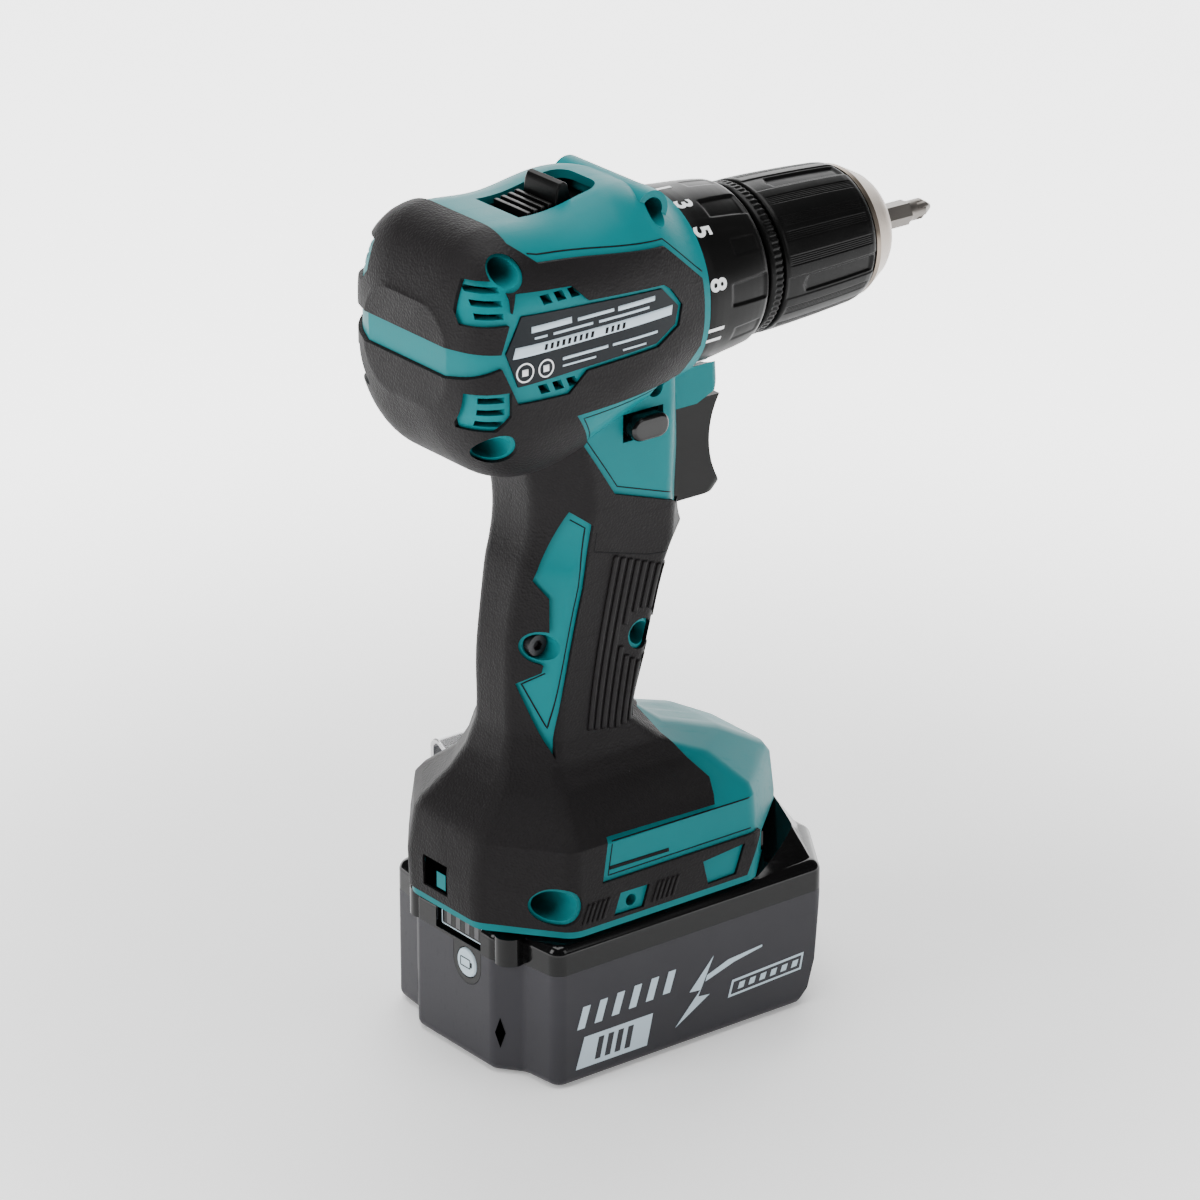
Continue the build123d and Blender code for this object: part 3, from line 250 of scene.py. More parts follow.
looks = {
    "teal": dict(colour=(0.0, 0.16, 0.175), rough=0.42, specular=0.1, bump=0.35, scale=2600, cells=0.3,
                 deep=0.00008, shade=0.93),
    "softBlack": dict(colour=(0.0085, 0.0075, 0.008), rough=0.55, specular=0.13, bump=0.75, scale=1500,
                      cells=0.75, deep=0.00022, dust=0.12, speck=0.5),
    "ribBlack": dict(colour=(0.009, 0.008, 0.0085), rough=0.5, specular=0.12, bump=0.3, scale=2400,
                     cells=0.4, deep=0.0001),
    "ringBlack": dict(colour=(0.003, 0.003, 0.003), rough=0.34, specular=0.12, bump=0.22, scale=3200,
                      cells=0.3, deep=0.00006),
    "controlBlack": dict(colour=(0.004, 0.0038, 0.0038), rough=0.34, specular=0.14, bump=0.2, scale=3000,
                         deep=0.00006),
    "leverGloss": dict(colour=(0.003, 0.003, 0.003), rough=0.14, specular=0.3),
    "caseGrey": dict(colour=(0.036, 0.035, 0.041), rough=0.42, specular=0.2, bump=0.3, scale=3400,
                     cells=0.2, deep=0.00006),
    "coverGloss": dict(colour=(0.002, 0.002, 0.0022), rough=0.13, specular=0.3, scuff=0.4),
    "plate": dict(colour=(0.006, 0.009, 0.012), rough=0.36, specular=0.12),
    "print": dict(colour=(0.52, 0.64, 0.72), rough=0.45, shade=0.97),
    "white": dict(colour=(0.86, 0.87, 0.88), rough=0.4, shade=0.97),
    # dark print; the same paint also serves as painted shade along the grooves and the foot slot
    "darkPrintAndGrooveShade": dict(colour=(0.004, 0.004, 0.005), rough=0.5, specular=0.1),
    "nickel": dict(colour=(0.24, 0.2, 0.165), rough=0.3, metallic=1.0, bump=0.25, field="turned", scale=2600,
                   deep=0.00008),
    "bitSteel": dict(colour=(0.2, 0.185, 0.17), rough=0.36, metallic=1.0, bump=0.2, field="turned", scale=1800,
                     deep=0.00006),
    "steel": dict(colour=(0.55, 0.55, 0.56), rough=0.28, metallic=1.0, bump=0.15, scale=1600, deep=0.00005),
    "darkSteel": dict(colour=(0.05, 0.05, 0.052), rough=0.38, metallic=0.9),
    "gearSteel": dict(colour=(0.36, 0.36, 0.38), rough=0.34, metallic=1.0),
    "copper": dict(colour=(0.62, 0.27, 0.13), rough=0.34, metallic=1.0, bump=0.4, scale=1200, deep=0.0002),
    "magnet": dict(colour=(0.16, 0.16, 0.17), rough=0.45, metallic=0.6),
    "circuit": dict(colour=(0.02, 0.11, 0.05), rough=0.4),
    "wrap": dict(colour=(0.05, 0.2, 0.38), rough=0.4),
    "innerPlastic": dict(colour=(0.07, 0.07, 0.07), rough=0.55),
    "bearingNut": dict(colour=(0.3, 0.29, 0.27), rough=0.5),
    "lens": dict(colour=(0.85, 0.88, 0.9), rough=0.08, clear=0.9, ior=1.45),
    "gaugeGlass": dict(colour=(0.003, 0.003, 0.003), rough=0.14, specular=0.25),
    # painted shade: black paint without shine, standing in for the shade inside holes and recesses
    "hollowShade": dict(colour=(0.0006, 0.0006, 0.0006), rough=0.9, specular=0.0, speck=0.0),
    "gaugeBar": dict(colour=(0.11, 0.11, 0.115), rough=0.35, specular=0.2),
    "floor": dict(colour=(0.94, 0.94, 0.94), rough=0.8, shade=0.995, speck=0.0, scuff=0.0, glow=2.6,
                  pool={"From Min": 0.12, "From Max": 0.5, "To Min": 0.1, "To Max": 1.0}),
}
paints = {name: makeMaterial(name, look) for name, look in looks.items()}
print("materials made", len(paints))

nodePaint = {
    "teal": ["housing_right", "housing_left"],
    "softBlack": ["overmould_right", "overmould_left"],
    "plate": ["nameplate_right", "nameplate_left"],
    "darkSteel": ["housing_screws", "stator", "clutch_spring"],
    "steel": ["belt_hook", "hook_screw", "rotor_shaft", "rear_bearing", "front_bearing", "spindle_bearing",
              "spindle", "clutch_plate", "clutch_balls", "carrier_1", "carrier_2", "shift_wire"],
    "copper": ["motor_windings", "terminal_blades", "battery_terminals"],
    "gearSteel": ["ring_gear_1", "ring_gear_2", "split_nut", "jaw_1", "jaw_2", "jaw_3"]
    + ["planet_" + k + l for k in "12" for l in "abc"],
    "magnet": ["rotor_magnets"],
    "innerPlastic": ["cooling_fan", "terminal_block", "cell_holder", "switch_body", "gear_case"],
    "bearingNut": ["spring_nut"],
    "ringBlack": ["torque_ring", "chuck_ring", "chuck_sleeve"],
    "controlBlack": ["speed_lever", "trigger", "release_button"],
    "leverGloss": ["direction_lever"],
    "nickel": ["chuck_body"],
    "bitSteel": ["screw_bit"],
    "lens": ["lamp_lens"],
    "circuit": ["controller", "battery_board"],
    "caseGrey": ["battery_case"],
    "coverGloss": ["battery_cover"],
    "gaugeGlass": ["charge_gauge"],
    "print": ["check_button"],
    "wrap": ["battery_cells"],
}


# CAD nodes: merged, softly shaded, with a small round on the edges that show

def addSoftEdges():
    tree = bpy.data.node_groups.new("softEdges", "GeometryNodeTree")
    tree.interface.new_socket("Geometry", in_out="INPUT", socket_type="NodeSocketGeometry")
    tree.interface.new_socket("Geometry", in_out="OUTPUT", socket_type="NodeSocketGeometry")
    start = tree.nodes.new("NodeGroupInput")
    end = tree.nodes.new("NodeGroupOutput")
    clear = put(tree, "GeometryNodeRemoveAttribute", {}, {"Name": "custom_normal"})
    merge = put(tree, "GeometryNodeMergeByDistance", {}, {"Distance": 0.000004})
    smooth = put(tree, "GeometryNodeSetShadeSmooth", {"domain": "FACE"}, {"Shade Smooth": True})
    angle = put(tree, "GeometryNodeInputMeshEdgeAngle")
    over = put(tree, "FunctionNodeCompare", {"data_type": "FLOAT", "operation": "GREATER_THAN"})
    over.inputs[1].default_value = math.radians(27)
    sharp = put(tree, "GeometryNodeSetShadeSmooth", {"domain": "EDGE"}, {"Shade Smooth": False})
    link = tree.links.new
    link(start.outputs[0], clear.inputs["Geometry"])
    link(clear.outputs["Geometry"], merge.inputs["Geometry"])
    link(merge.outputs["Geometry"], smooth.inputs["Geometry"])
    link(smooth.outputs["Geometry"], sharp.inputs["Geometry"])
    link(angle.outputs["Unsigned Angle"], over.inputs[0])
    link(over.outputs["Result"], sharp.inputs["Selection"])
    link(sharp.outputs["Geometry"], end.inputs[0])
    return tree


softEdges = addSoftEdges()
roundings = {
    "housing_right": 0.35, "housing_left": 0.35, "overmould_right": 0.3, "overmould_left": 0.3,
    "battery_case": 0.3, "battery_cover": 0.5, "trigger": 0.8, "speed_lever": 0.4, "release_button": 0.6,
    "belt_hook": 0.3, "hook_screw": 0.4, "housing_screws": 0.2, "nameplate_right": 0.12, "nameplate_left": 0.12,
    "chuck_body": 0.3, "screw_bit": 0.12, "check_button": 0.15, "charge_gauge": 0.1,
}


def finishNode(item, width):
    soft = item.modifiers.new("soft", "NODES")
    soft.node_group = softEdges
    if width:
        bevel = item.modifiers.new("round", "BEVEL")
        bevel.width, bevel.segments = width * mm, 2
        bevel.limit_method, bevel.angle_limit = "ANGLE", math.radians(40)
        bevel.use_clamp_overlap = True
        weigh = item.modifiers.new("weigh", "WEIGHTED_NORMAL")
        weigh.keep_sharp = True


for paint, names in nodePaint.items():
    for name in names:
        item = nodes[name]
        item.data.materials.clear()
        item.data.materials.append(paints[paint])
        finishNode(item, roundings.get(name, 0))
print("nodes painted")


# surface helpers

def addPiece(name, points, wrapU, wrapV, paint, body, slot, smooth=True):
    rows, cols = points.shape[:2]
    index = np.arange(rows * cols).reshape(rows, cols)
    if wrapU:
        index = np.vstack([index, index[:1]])
    if wrapV:
        index = np.hstack([index, index[:, :1]])
    quads = np.stack([index[:-1, :-1], index[1:, :-1], index[1:, 1:], index[:-1, 1:]], axis=-1).reshape(-1, 4)
    return addMesh(name, points.reshape(-1, 3), quads, paint, body, smooth)


def addMesh(name, points, faces, paint, body, smooth=True):
    data = bpy.data.meshes.new(name)
    data.from_pydata(np.asarray(points).tolist(), [], [list(face) for face in faces])
    data.polygons.foreach_set("use_smooth", np.full(len(data.polygons), smooth))
    data.materials.append(paints[paint])
    item = bpy.data.objects.new(name, data)
    bpy.context.scene.collection.objects.link(item)
    if body:
        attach(item, body)
    return item


def around(x, radius, turn):
    # points about the spindle axis; turn is 0 on top and 90 degrees on the right side
    return np.stack([x, -radius * np.sin(turn), axisZ + radius * np.cos(turn)], axis=-1)


def step(value, low, high):
    t = np.clip((value - low) / (high - low), 0, 1)
    return t * t * (3 - 2 * t)


def wrapped(turn, centre, period):
    return (turn - centre + period / 2) % period - period / 2


# torque ring: a turned profile, with wide finger recesses pressed into its front half

ringPiece = {
    "profile": [(13.3, 21.5), (13.3, 24.6), (13.9, 25.2), (16, 25.25), (18.5, 25.1), (21, 24.85), (24, 24.6),
                (27, 24.3), (30, 23.95), (32.5, 23.6), (34.4, 23.25), (35.4, 22.8), (36.1, 22.1), (36.4, 21.3),
                (36.3, 15.6), (34.9, 15.6), (33.7, 21.1), (31, 21.5)],
    "pace": 0.5, "turnStep": 0.75, "rim": (22.9, 23.1),
    "recesses": 6, "first": 29.0, "halfAngle": 7.5, "depth": 0.75, "edge": (1.2, 0.4), "narrowing": 0.12,
    "recessStart": (21.4, 22.6), "recessEnd": (34.2, 35.2),
    "flatDepth": 0.22, "flatHalf": (5.0, 6.0), "flatStart": (24, 25), "flatEnd": (33, 34),
}


def densify(profile, pace, borePace=None):
    # a closed profile cut into short runs; the last run, along the bore, may be cut more coarsely
    spots = np.array(profile, float)
    ends = np.roll(spots, -1, axis=0)
    paces = [pace] * (len(spots) - 1) + [borePace or pace]
    runs = [np.linspace(a, b, max(2, int(np.hypot(*(b - a)) / p) + 1), endpoint=False)
            for a, b, p in zip(spots, ends, paces)]
    return np.vstack(runs)


def makeTorqueRing(spec):
    line = densify(spec["profile"], spec["pace"])
    turn = np.radians(np.arange(0, 360, spec["turnStep"]))
    x, a = np.meshgrid(line[:, 0], turn, indexing="ij")
    radius = np.repeat(line[:, 1:2], len(turn), axis=1)
    # radius less a recess: full depth inside a half angle that narrows to the rear, fading in over x 21.5 to 23
    degrees = wrapped(np.degrees(a), spec["first"], 360 / spec["recesses"])
    half = spec["halfAngle"] + spec["narrowing"] * (x - 22)
    across = 1 - step(np.abs(degrees), half - spec["edge"][0], half + spec["edge"][1])
    along = step(x, *spec["recessStart"]) * (1 - step(x, *spec["recessEnd"]))
    outside = step(radius, *spec["rim"])
    radius = radius - spec["depth"] * across * along * outside
    # halfway between two recesses lies a shallower flat
    flat = wrapped(np.degrees(a), spec["first"] + 180 / spec["recesses"], 360 / spec["recesses"])
    shallow = (1 - step(np.abs(flat), *spec["flatHalf"])) * step(x, *spec["flatStart"])
    radius = radius - spec["flatDepth"] * shallow * (1 - step(x, *spec["flatEnd"])) * outside
    ring = addPiece("ring_shell", around(x * mm, radius * mm, a), True, True, "ringBlack", "torque_ring",
                    "ring_black")
    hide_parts("torque_ring")


makeTorqueRing(ringPiece)


# numbers on the ring: font outlines laid round the ring, heads towards the chuck

ringMarks = {"size": 0.0074, "x": 0.0143, "lift": 0.00006,
             "marks": [("1", 1), ("3", 22.5), ("5", 45), ("8", 79), ("11", 113), ("14", 147), ("17", 181),
                       ("19", 204), ("21", 226)]}


def glyphMesh(text, size, bold=0.0002, thick=0.00008):
    curve = bpy.data.curves.new("glyph", "FONT")
    curve.body, curve.size, curve.align_x, curve.align_y = text, size, "CENTER", "BOTTOM_BASELINE"
    curve.offset, curve.extrude, curve.resolution_u = bold, thick, 6
    item = bpy.data.objects.new("glyph", curve)
    bpy.context.scene.collection.objects.link(item)
    mesh = bpy.data.meshes.new_from_object(item.evaluated_get(bpy.context.evaluated_depsgraph_get()))
    points = np.empty(len(mesh.vertices) * 3)
    mesh.vertices.foreach_get("co", points)
    faces = [tuple(p.vertices) for p in mesh.polygons]
    bpy.data.objects.remove(item)
    return points.reshape(-1, 3), faces


def makeRingMarks(spec):
    allPoints, allFaces, count = [], [], 0
    for text, angle in spec["marks"]:
        flat, faces = glyphMesh(text, spec["size"])
        x = spec["x"] + flat[:, 1]
        radius = np.interp(x / mm, [13.9, 16, 18.5, 21, 24], [25.2, 25.25, 25.1, 24.85, 24.6]) * mm
        turn = math.radians(angle) + flat[:, 0] / 0.0251
        allPoints.append(around(x, radius + spec["lift"] + flat[:, 2], turn))
        allFaces += [tuple(v + count for v in face) for face in faces]
        count += len(flat)
    addMesh("ring_numbers", np.vstack(allPoints), allFaces, "white", "torque_ring", False)


makeRingMarks(ringMarks)
print("torque ring made")


# clutch spring: a wire coil between the gear case and its nut, which squeezes it when turned in; the coil here is
# built at one fixed length

springPiece = {"start": 14.7, "end": 24.5, "coil": 17.2, "wire": 0.8, "turns": 3.0, "rest": 0.3}


def makeSpring(spec):
    # a circle carried along a helix that lies flat for a part of a turn at both ends
    u = np.linspace(0, spec["turns"] + 2 * spec["rest"], 260)
    share = np.clip((u - spec["rest"]) / spec["turns"], 0, 1)
    x = spec["start"] + (spec["end"] - spec["start"]) * share
    v = np.linspace(0, 2 * np.pi, 12, endpoint=False)
    a = np.repeat((u * 2 * np.pi)[:, None], len(v), axis=1)
    along = x[:, None] + spec["wire"] * np.sin(v)[None, :]
    radius = spec["coil"] + spec["wire"] * np.cos(v)[None, :] + 0 * along
    points = around(along * mm, radius * mm, a)
    rows, cols = points.shape[:2]
    index = np.arange(rows * cols).reshape(rows, cols)
    wide = np.hstack([index, index[:, :1]])
    quads = np.stack([wide[:-1, :-1], wide[1:, :-1], wide[1:, 1:], wide[:-1, 1:]], axis=-1).reshape(-1, 4)
    faces = quads.tolist() + [index[0].tolist(), index[-1][::-1].tolist()]
    coil = addMesh("clutch_coil", points.reshape(-1, 3), faces, "darkSteel", None)
    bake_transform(coil)
    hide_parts("clutch_spring")


makeSpring(springPiece)


# knurled ring at the back of the chuck

knurlPiece = {"profile": [(38.0, 17.1), (38.0, 20.6), (38.5, 21.2), (39.4, 21.45), (41.6, 21.45), (42.3, 21.1),
                          (42.7, 20.4), (42.7, 17.1)], "pace": 0.35, "turnStep": 0.625, "teeth": 72, "depth": 0.32,
              "sharp": 1.6, "start": (39.3, 39.8), "rim": (20.3, 20.8)}


def makeKnurl(spec):
    line = densify(spec["profile"], spec["pace"])
    turn = np.radians(np.arange(0, 360, spec["turnStep"]))
    x, a = np.meshgrid(line[:, 0], turn, indexing="ij")
    radius = np.repeat(line[:, 1:2], len(turn), axis=1)
    # each tooth is a raised half wave, on the front two thirds of the rim
    wave = np.clip(np.sin(a * spec["teeth"]) * spec["sharp"], -1, 1) * 0.5 - 0.5
    radius = radius + spec["depth"] * wave * step(x, *spec["start"]) * step(radius, *spec["rim"])
    ring = addPiece("knurl_ring", around(x * mm, radius * mm, a), True, True, "ringBlack", "chuck", "ring_black")
    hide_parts("chuck_ring")


makeKnurl(knurlPiece)

# chuck sleeve: turned profile with four stepped recesses and groups of fine lines

sleevePiece = {
    "profile": [(43.2, 17.85), (43.2, 20.6), (43.5, 21.2), (44.2, 21.45), (48, 21.4), (52, 21.25), (58, 20.95),
                (64, 20.6), (70, 20.15), (73.5, 19.85), (75.2, 19.55), (76.2, 19.15), (76.7, 18.5), (76.7, 17.85)],
    "pace": 0.5, "borePace": 4.0, "turnStep": 0.5, "rim": (18.3, 18.9), "first": 100.0, "period": 90.0,
    "narrowDepth": 0.34, "narrowHalf": (8.4, 9.4), "narrowStart": (43.6, 44.2),
    "deepDepth": 0.75, "deepHalf": (5.6, 7.2), "deepStart": 49.2, "deepSlant": 0.16, "deepRamp": 1.8,
    "deepEnd": (74.4, 75.6),
    "lineGroups": (-21.0, 20.5, 39.0, -39.0), "linesPerGroup": 5, "linePitch": 1.55, "lineDepth": 0.2,
    "lineHalf": (0.15, 0.75), "lineStart": (44.6, 45.4), "lineEnd": (74.2, 75.0),
}


def makeSleeve(spec):
    line = densify(spec["profile"], spec["pace"], spec["borePace"])
    turn = np.radians(np.arange(0, 360, spec["turnStep"]))
    x, a = np.meshgrid(line[:, 0], turn, indexing="ij")
    radius = np.repeat(line[:, 1:2], len(turn), axis=1)
    degrees = wrapped(np.degrees(a), spec["first"], spec["period"])
    outside = step(radius, *spec["rim"])
    # narrow shallow channel from the rear, then a deeper recess whose rear end is slanted
    narrow = (1 - step(np.abs(degrees), *spec["narrowHalf"])) * step(x, *spec["narrowStart"])
    edge = spec["deepStart"] + spec["deepSlant"] * np.abs(degrees)
    deep = (1 - step(np.abs(degrees), *spec["deepHalf"])) * step(x, edge, edge + spec["deepRamp"])
    deep = deep * (1 - step(x, *spec["deepEnd"]))
    radius = radius - (spec["narrowDepth"] * narrow + spec["deepDepth"] * deep) * outside
    # fine lines: narrow grooves at equal angles, in groups either side of each recess
    groove = np.zeros_like(radius)
    for group in spec["lineGroups"]:
        for i in range(spec["linesPerGroup"]):
            centre = group + (i - (spec["linesPerGroup"] - 1) / 2) * spec["linePitch"]
            near = np.abs(wrapped(degrees, centre, spec["period"]))
            groove = np.maximum(groove, 1 - step(near, *spec["lineHalf"]))
    groove = groove * step(x, *spec["lineStart"]) * (1 - step(x, *spec["lineEnd"]))
    radius = radius - spec["lineDepth"] * groove * outside
    sleeve = addPiece("grip_sleeve", around(x * mm, radius * mm, a), True, True, "ringBlack", "chuck_sleeve",
                      "ring_black")
    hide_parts("chuck_sleeve")


makeSleeve(sleevePiece)
print("chuck made")


# thin pieces laid on a curved side: flat grids slid sideways onto the part under them

def addPressOn():
    # each point follows its ray onto the part below; points that meet nothing, or only a steep wall, are dropped
    tree = bpy.data.node_groups.new("pressOn", "GeometryNodeTree")
    sockets = [("Geometry", "NodeSocketGeometry"), ("Part", "NodeSocketObject"), ("Way", "NodeSocketVector"),
               ("Lift", "NodeSocketFloat")]
    for label, kind in sockets:
        tree.interface.new_socket(label, in_out="INPUT", socket_type=kind)
    tree.interface.new_socket("Geometry", in_out="OUTPUT", socket_type="NodeSocketGeometry")
    start = tree.nodes.new("NodeGroupInput")
    end = tree.nodes.new("NodeGroupOutput")
    part = put(tree, "GeometryNodeObjectInfo", {"transform_space": "RELATIVE"})
    ray = put(tree, "GeometryNodeRaycast", {}, {"Ray Length": 0.2})
    facing = put(tree, "ShaderNodeVectorMath", {"operation": "DOT_PRODUCT"})
    fair = put(tree, "FunctionNodeCompare", {"data_type": "FLOAT", "operation": "LESS_THAN"})
    fair.inputs[1].default_value = -0.2
    good = put(tree, "FunctionNodeBooleanMath", {"operation": "AND"})
    bad = put(tree, "FunctionNodeBooleanMath", {"operation": "NOT"})
    drop = put(tree, "GeometryNodeDeleteGeometry", {"domain": "POINT"})
    back = put(tree, "ShaderNodeVectorMath", {"operation": "SCALE"})
    spot = put(tree, "ShaderNodeVectorMath", {"operation": "SUBTRACT"})
    move = put(tree, "GeometryNodeSetPosition")
    link = tree.links.new
    link(start.outputs["Part"], part.inputs["Object"])
    link(part.outputs["Geometry"], ray.inputs["Target Geometry"])
    link(start.outputs["Way"], ray.inputs["Ray Direction"])
    link(start.outputs["Way"], facing.inputs[0])
    link(ray.outputs["Hit Normal"], facing.inputs[1])
    link(facing.outputs["Value"], fair.inputs[0])
    link(ray.outputs["Is Hit"], good.inputs[0])
    link(fair.outputs["Result"], good.inputs[1])
    link(good.outputs["Boolean"], bad.inputs[0])
    link(start.outputs["Geometry"], drop.inputs["Geometry"])
    link(bad.outputs["Boolean"], drop.inputs["Selection"])
    link(start.outputs["Way"], back.inputs[0])
    link(start.outputs["Lift"], back.inputs["Scale"])
    link(ray.outputs["Hit Position"], spot.inputs[0])
    link(back.outputs["Vector"], spot.inputs[1])
    link(drop.outputs["Geometry"], move.inputs["Geometry"])
    link(spot.outputs["Vector"], move.inputs["Position"])
    link(move.outputs["Geometry"], end.inputs["Geometry"])
    return tree


pressOn = addPressOn()
pressKeys = {item.name: item.identifier for item in pressOn.interface.items_tree if item.in_out == "INPUT"}


def layOn(name, points, target, paint, body, slot, thick, side=-1, lift=0.02, wrapU=False):
    piece = addPiece(name, points, wrapU, False, paint, body, slot)
    press = piece.modifiers.new("press", "NODES")
    press.node_group = pressOn
    press[pressKeys["Part"]] = nodes[target]
    press[pressKeys["Way"]] = (0.0, -float(side), 0.0)
    press[pressKeys["Lift"]] = lift * mm
    skin = piece.modifiers.new("skin", "SOLIDIFY")
    skin.thickness, skin.offset = thick * mm, 1.0
    return piece


def stripGrid(path, width, side, pace=0.8, closed=False):
    # a ribbon of even width along a path of (x, z) points, at a distance to one side of the tool
    spots = np.array(path, float)
    if closed:
        spots = np.vstack([spots, spots[:1]])
    runs = [np.linspace(a, b, max(2, int(np.hypot(*(b - a)) / pace) + 1), endpoint=False)
            for a, b in zip(spots[:-1], spots[1:])]
    line = np.vstack(runs + ([] if closed else [spots[-1:]]))
    ahead = (np.roll(line, -1, axis=0) - np.roll(line, 1, axis=0)) if closed else np.gradient(line, axis=0)
    ahead = ahead / np.linalg.norm(ahead, axis=1, keepdims=True)
    away = np.stack([-ahead[:, 1], ahead[:, 0]], axis=-1)
    across = np.linspace(-0.5, 0.5, 4)[None, :, None] * width
    flat = line[:, None, :] + away[:, None, :] * across
    y = np.full(flat.shape[:2], 60.0 * side)
    grid = np.stack([flat[..., 0], y, flat[..., 1]], axis=-1) * mm
    return grid if side < 0 else grid[:, ::-1]


def panelGrid(corners, side, pace=1.0):
    # a four-sided panel, corners given in order, filled by blending its opposite edges
    a, b, c, d = [np.array(p, float) for p in corners]
    n = max(2, int(np.hypot(*(b - a)) / pace))
    m = max(2, int(np.hypot(*(d - a)) / pace))
    u, v = np.meshgrid(np.linspace(0, 1, n + 1), np.linspace(0, 1, m + 1), indexing="ij")
    flat = (a * ((1 - u) * (1 - v))[..., None] + b * (u * (1 - v))[..., None]
            + c * (u * v)[..., None] + d * ((1 - u) * v)[..., None])
    grid = np.stack([flat[..., 0], np.full(u.shape, 60.0 * side), flat[..., 1]], axis=-1) * mm
    return grid if side < 0 else grid[:, ::-1]


gripRibs = {"count": 9, "low": 92.0, "high": 143.0, "rear": -21.5, "spread": 18.5, "lean": 8.0, "fan": 1.5,
            "lowBow": 3, "highFall": 8, "bend": 1.15, "width": 1.5, "thick": 0.4, "samples": 40,
            "well": (-4.0, 117.4), "clear": 6.7}


def makeGripRibs(spec, side):
    for i in range(spec["count"]):
        share = i / (spec["count"] - 1)
        foot = spec["rear"] + share * spec["spread"]
        head = foot + spec["lean"] + spec["fan"] * share
        low, high = spec["low"] + spec["lowBow"] * abs(share - 0.5), spec["high"] - spec["highFall"] * share
        # each rib leans forwards, as a power a little over one of the height; it is cut where it meets the screw well
        z = np.linspace(low, high, spec["samples"])
        x = foot + (head - foot) * ((z - low) / (high - low)) ** spec["bend"]
        clear = np.hypot(x - spec["well"][0], z - spec["well"][1]) > spec["clear"]
        cuts = np.flatnonzero(np.diff(clear.astype(int))) + 1
        runs = [r for r in np.split(np.arange(len(z)), cuts) if clear[r[0]] and len(r) > 3]
        word = "right" if side < 0 else "left"
        for k, run in enumerate(runs):
            path = np.stack([x[run], z[run]], axis=-1)
            layOn("grip_rib_%s_%d_%d" % (word, i, k), stripGrid(path, spec["width"], side), "overmould_" + word,
                  "ribBlack", "housing", "overmould_black", spec["thick"], side)


plateMarks = {
    "bar": [(-55.6, 211.9), (-3.0, 212.4), (-2.6, 215.0), (-54.8, 214.9)],
    "lines": [(-50, -37, 219.0, 1.7), (-35, -23, 218.6, 0.9), (-21.6, -9, 218.5, 1.3), (-49, -45, 216.5, 0.6),
              (-43, -30, 216.5, 0.7), (-28, -11, 216.4, 0.7), (-40, -25, 208.9, 0.8), (-23.4, -8, 208.9, 0.7),
              (-40, -29, 206.9, 0.5), (-20, -12, 206.6, 0.5)],
    "dashes": [(-46, 213.4, 9), (-26, 213.4, 4)],
    "badges": [(-52.0, 207.6, 2.5), (-45.4, 207.5, 2.3)],
    "dashPitch": 1.9, "dash": (0.9, 0.8, 0.3), "badgeLine": 0.45, "badgeStep": 12, "dot": 0.9,
    "fine": 0.6, "thick": 0.05,
}


# paths of grooves on the housing and grip, drawn as thin dark strips: painted shade in place of the grooves
grooves = {
    "band": ("housing", [(-46.4, 237.3), (-43.6, 236.6), (-3.4, 232.6), (10.6, 220.2)]),
    "panel": ("housing", [(2.6, 190.3), (-32.4, 190.1), (-14.2, 163.6), (5.2, 156.9)]),
    "stripe": ("housing", [(-26.3, 155.4), (-23.4, 153.2), (-25.4, 136.2), (-27.0, 129.0), (-30.8, 109.4),
                           (-33.3, 96.0), (-38.0, 108.6), (-33.6, 112.2)]),
    "foot": ("housing", [(21.0, 67.6), (-26.6, 68.0), (-29.0, 59.0), (20.6, 59.0)]),
    "grip": ("overmould", [(-20.6, 151.6), (-21.0, 146.0), (-2.6, 140.6), (9.0, 139.0)]),
}
footRibs = {"groups": [-38.4, -14.6], "count": 5, "pitch": 1.7, "low": 47.2, "high": 53.0, "lean": 2.2, "width": 0.8,
            "thick": 0.3, "slot": [(-28.4, 60.9), (-8.0, 60.6)], "slotWidth": 1.0, "lineWidth": 0.34, "skin": 0.03}


def makeSideLines(side):
    word = "right" if side < 0 else "left"
    # each groove is a thin dark strip laid on the side: painted shade in place of the groove
    for name, (target, path) in grooves.items():
        layOn("line_%s_%s" % (name, word), stripGrid(path, footRibs["lineWidth"], side), target + "_" + word,
              "darkPrintAndGrooveShade", "housing", "shell_teal", footRibs["skin"], side, 0.03)
    for k, start in enumerate(footRibs["groups"]):
        for i in range(footRibs["count"]):
            x = start + footRibs["pitch"] * i
            path = [(x, footRibs["low"]), (x + footRibs["lean"], footRibs["high"])]
            layOn("foot_rib_%s_%d_%d" % (word, k, i), stripGrid(path, footRibs["width"], side, 1.2),
                  "overmould_" + word, "ribBlack", "housing", "overmould_black", footRibs["thick"], side)
    # the foot slot is a dark strip too: painted shade in place of the slot
    layOn("foot_slot_" + word, stripGrid(footRibs["slot"], footRibs["slotWidth"], side), "housing_" + word,
          "darkPrintAndGrooveShade", "housing", "shell_teal", footRibs["skin"], side, 0.04)


for side in (-1, 1):
    makeSideLines(side)


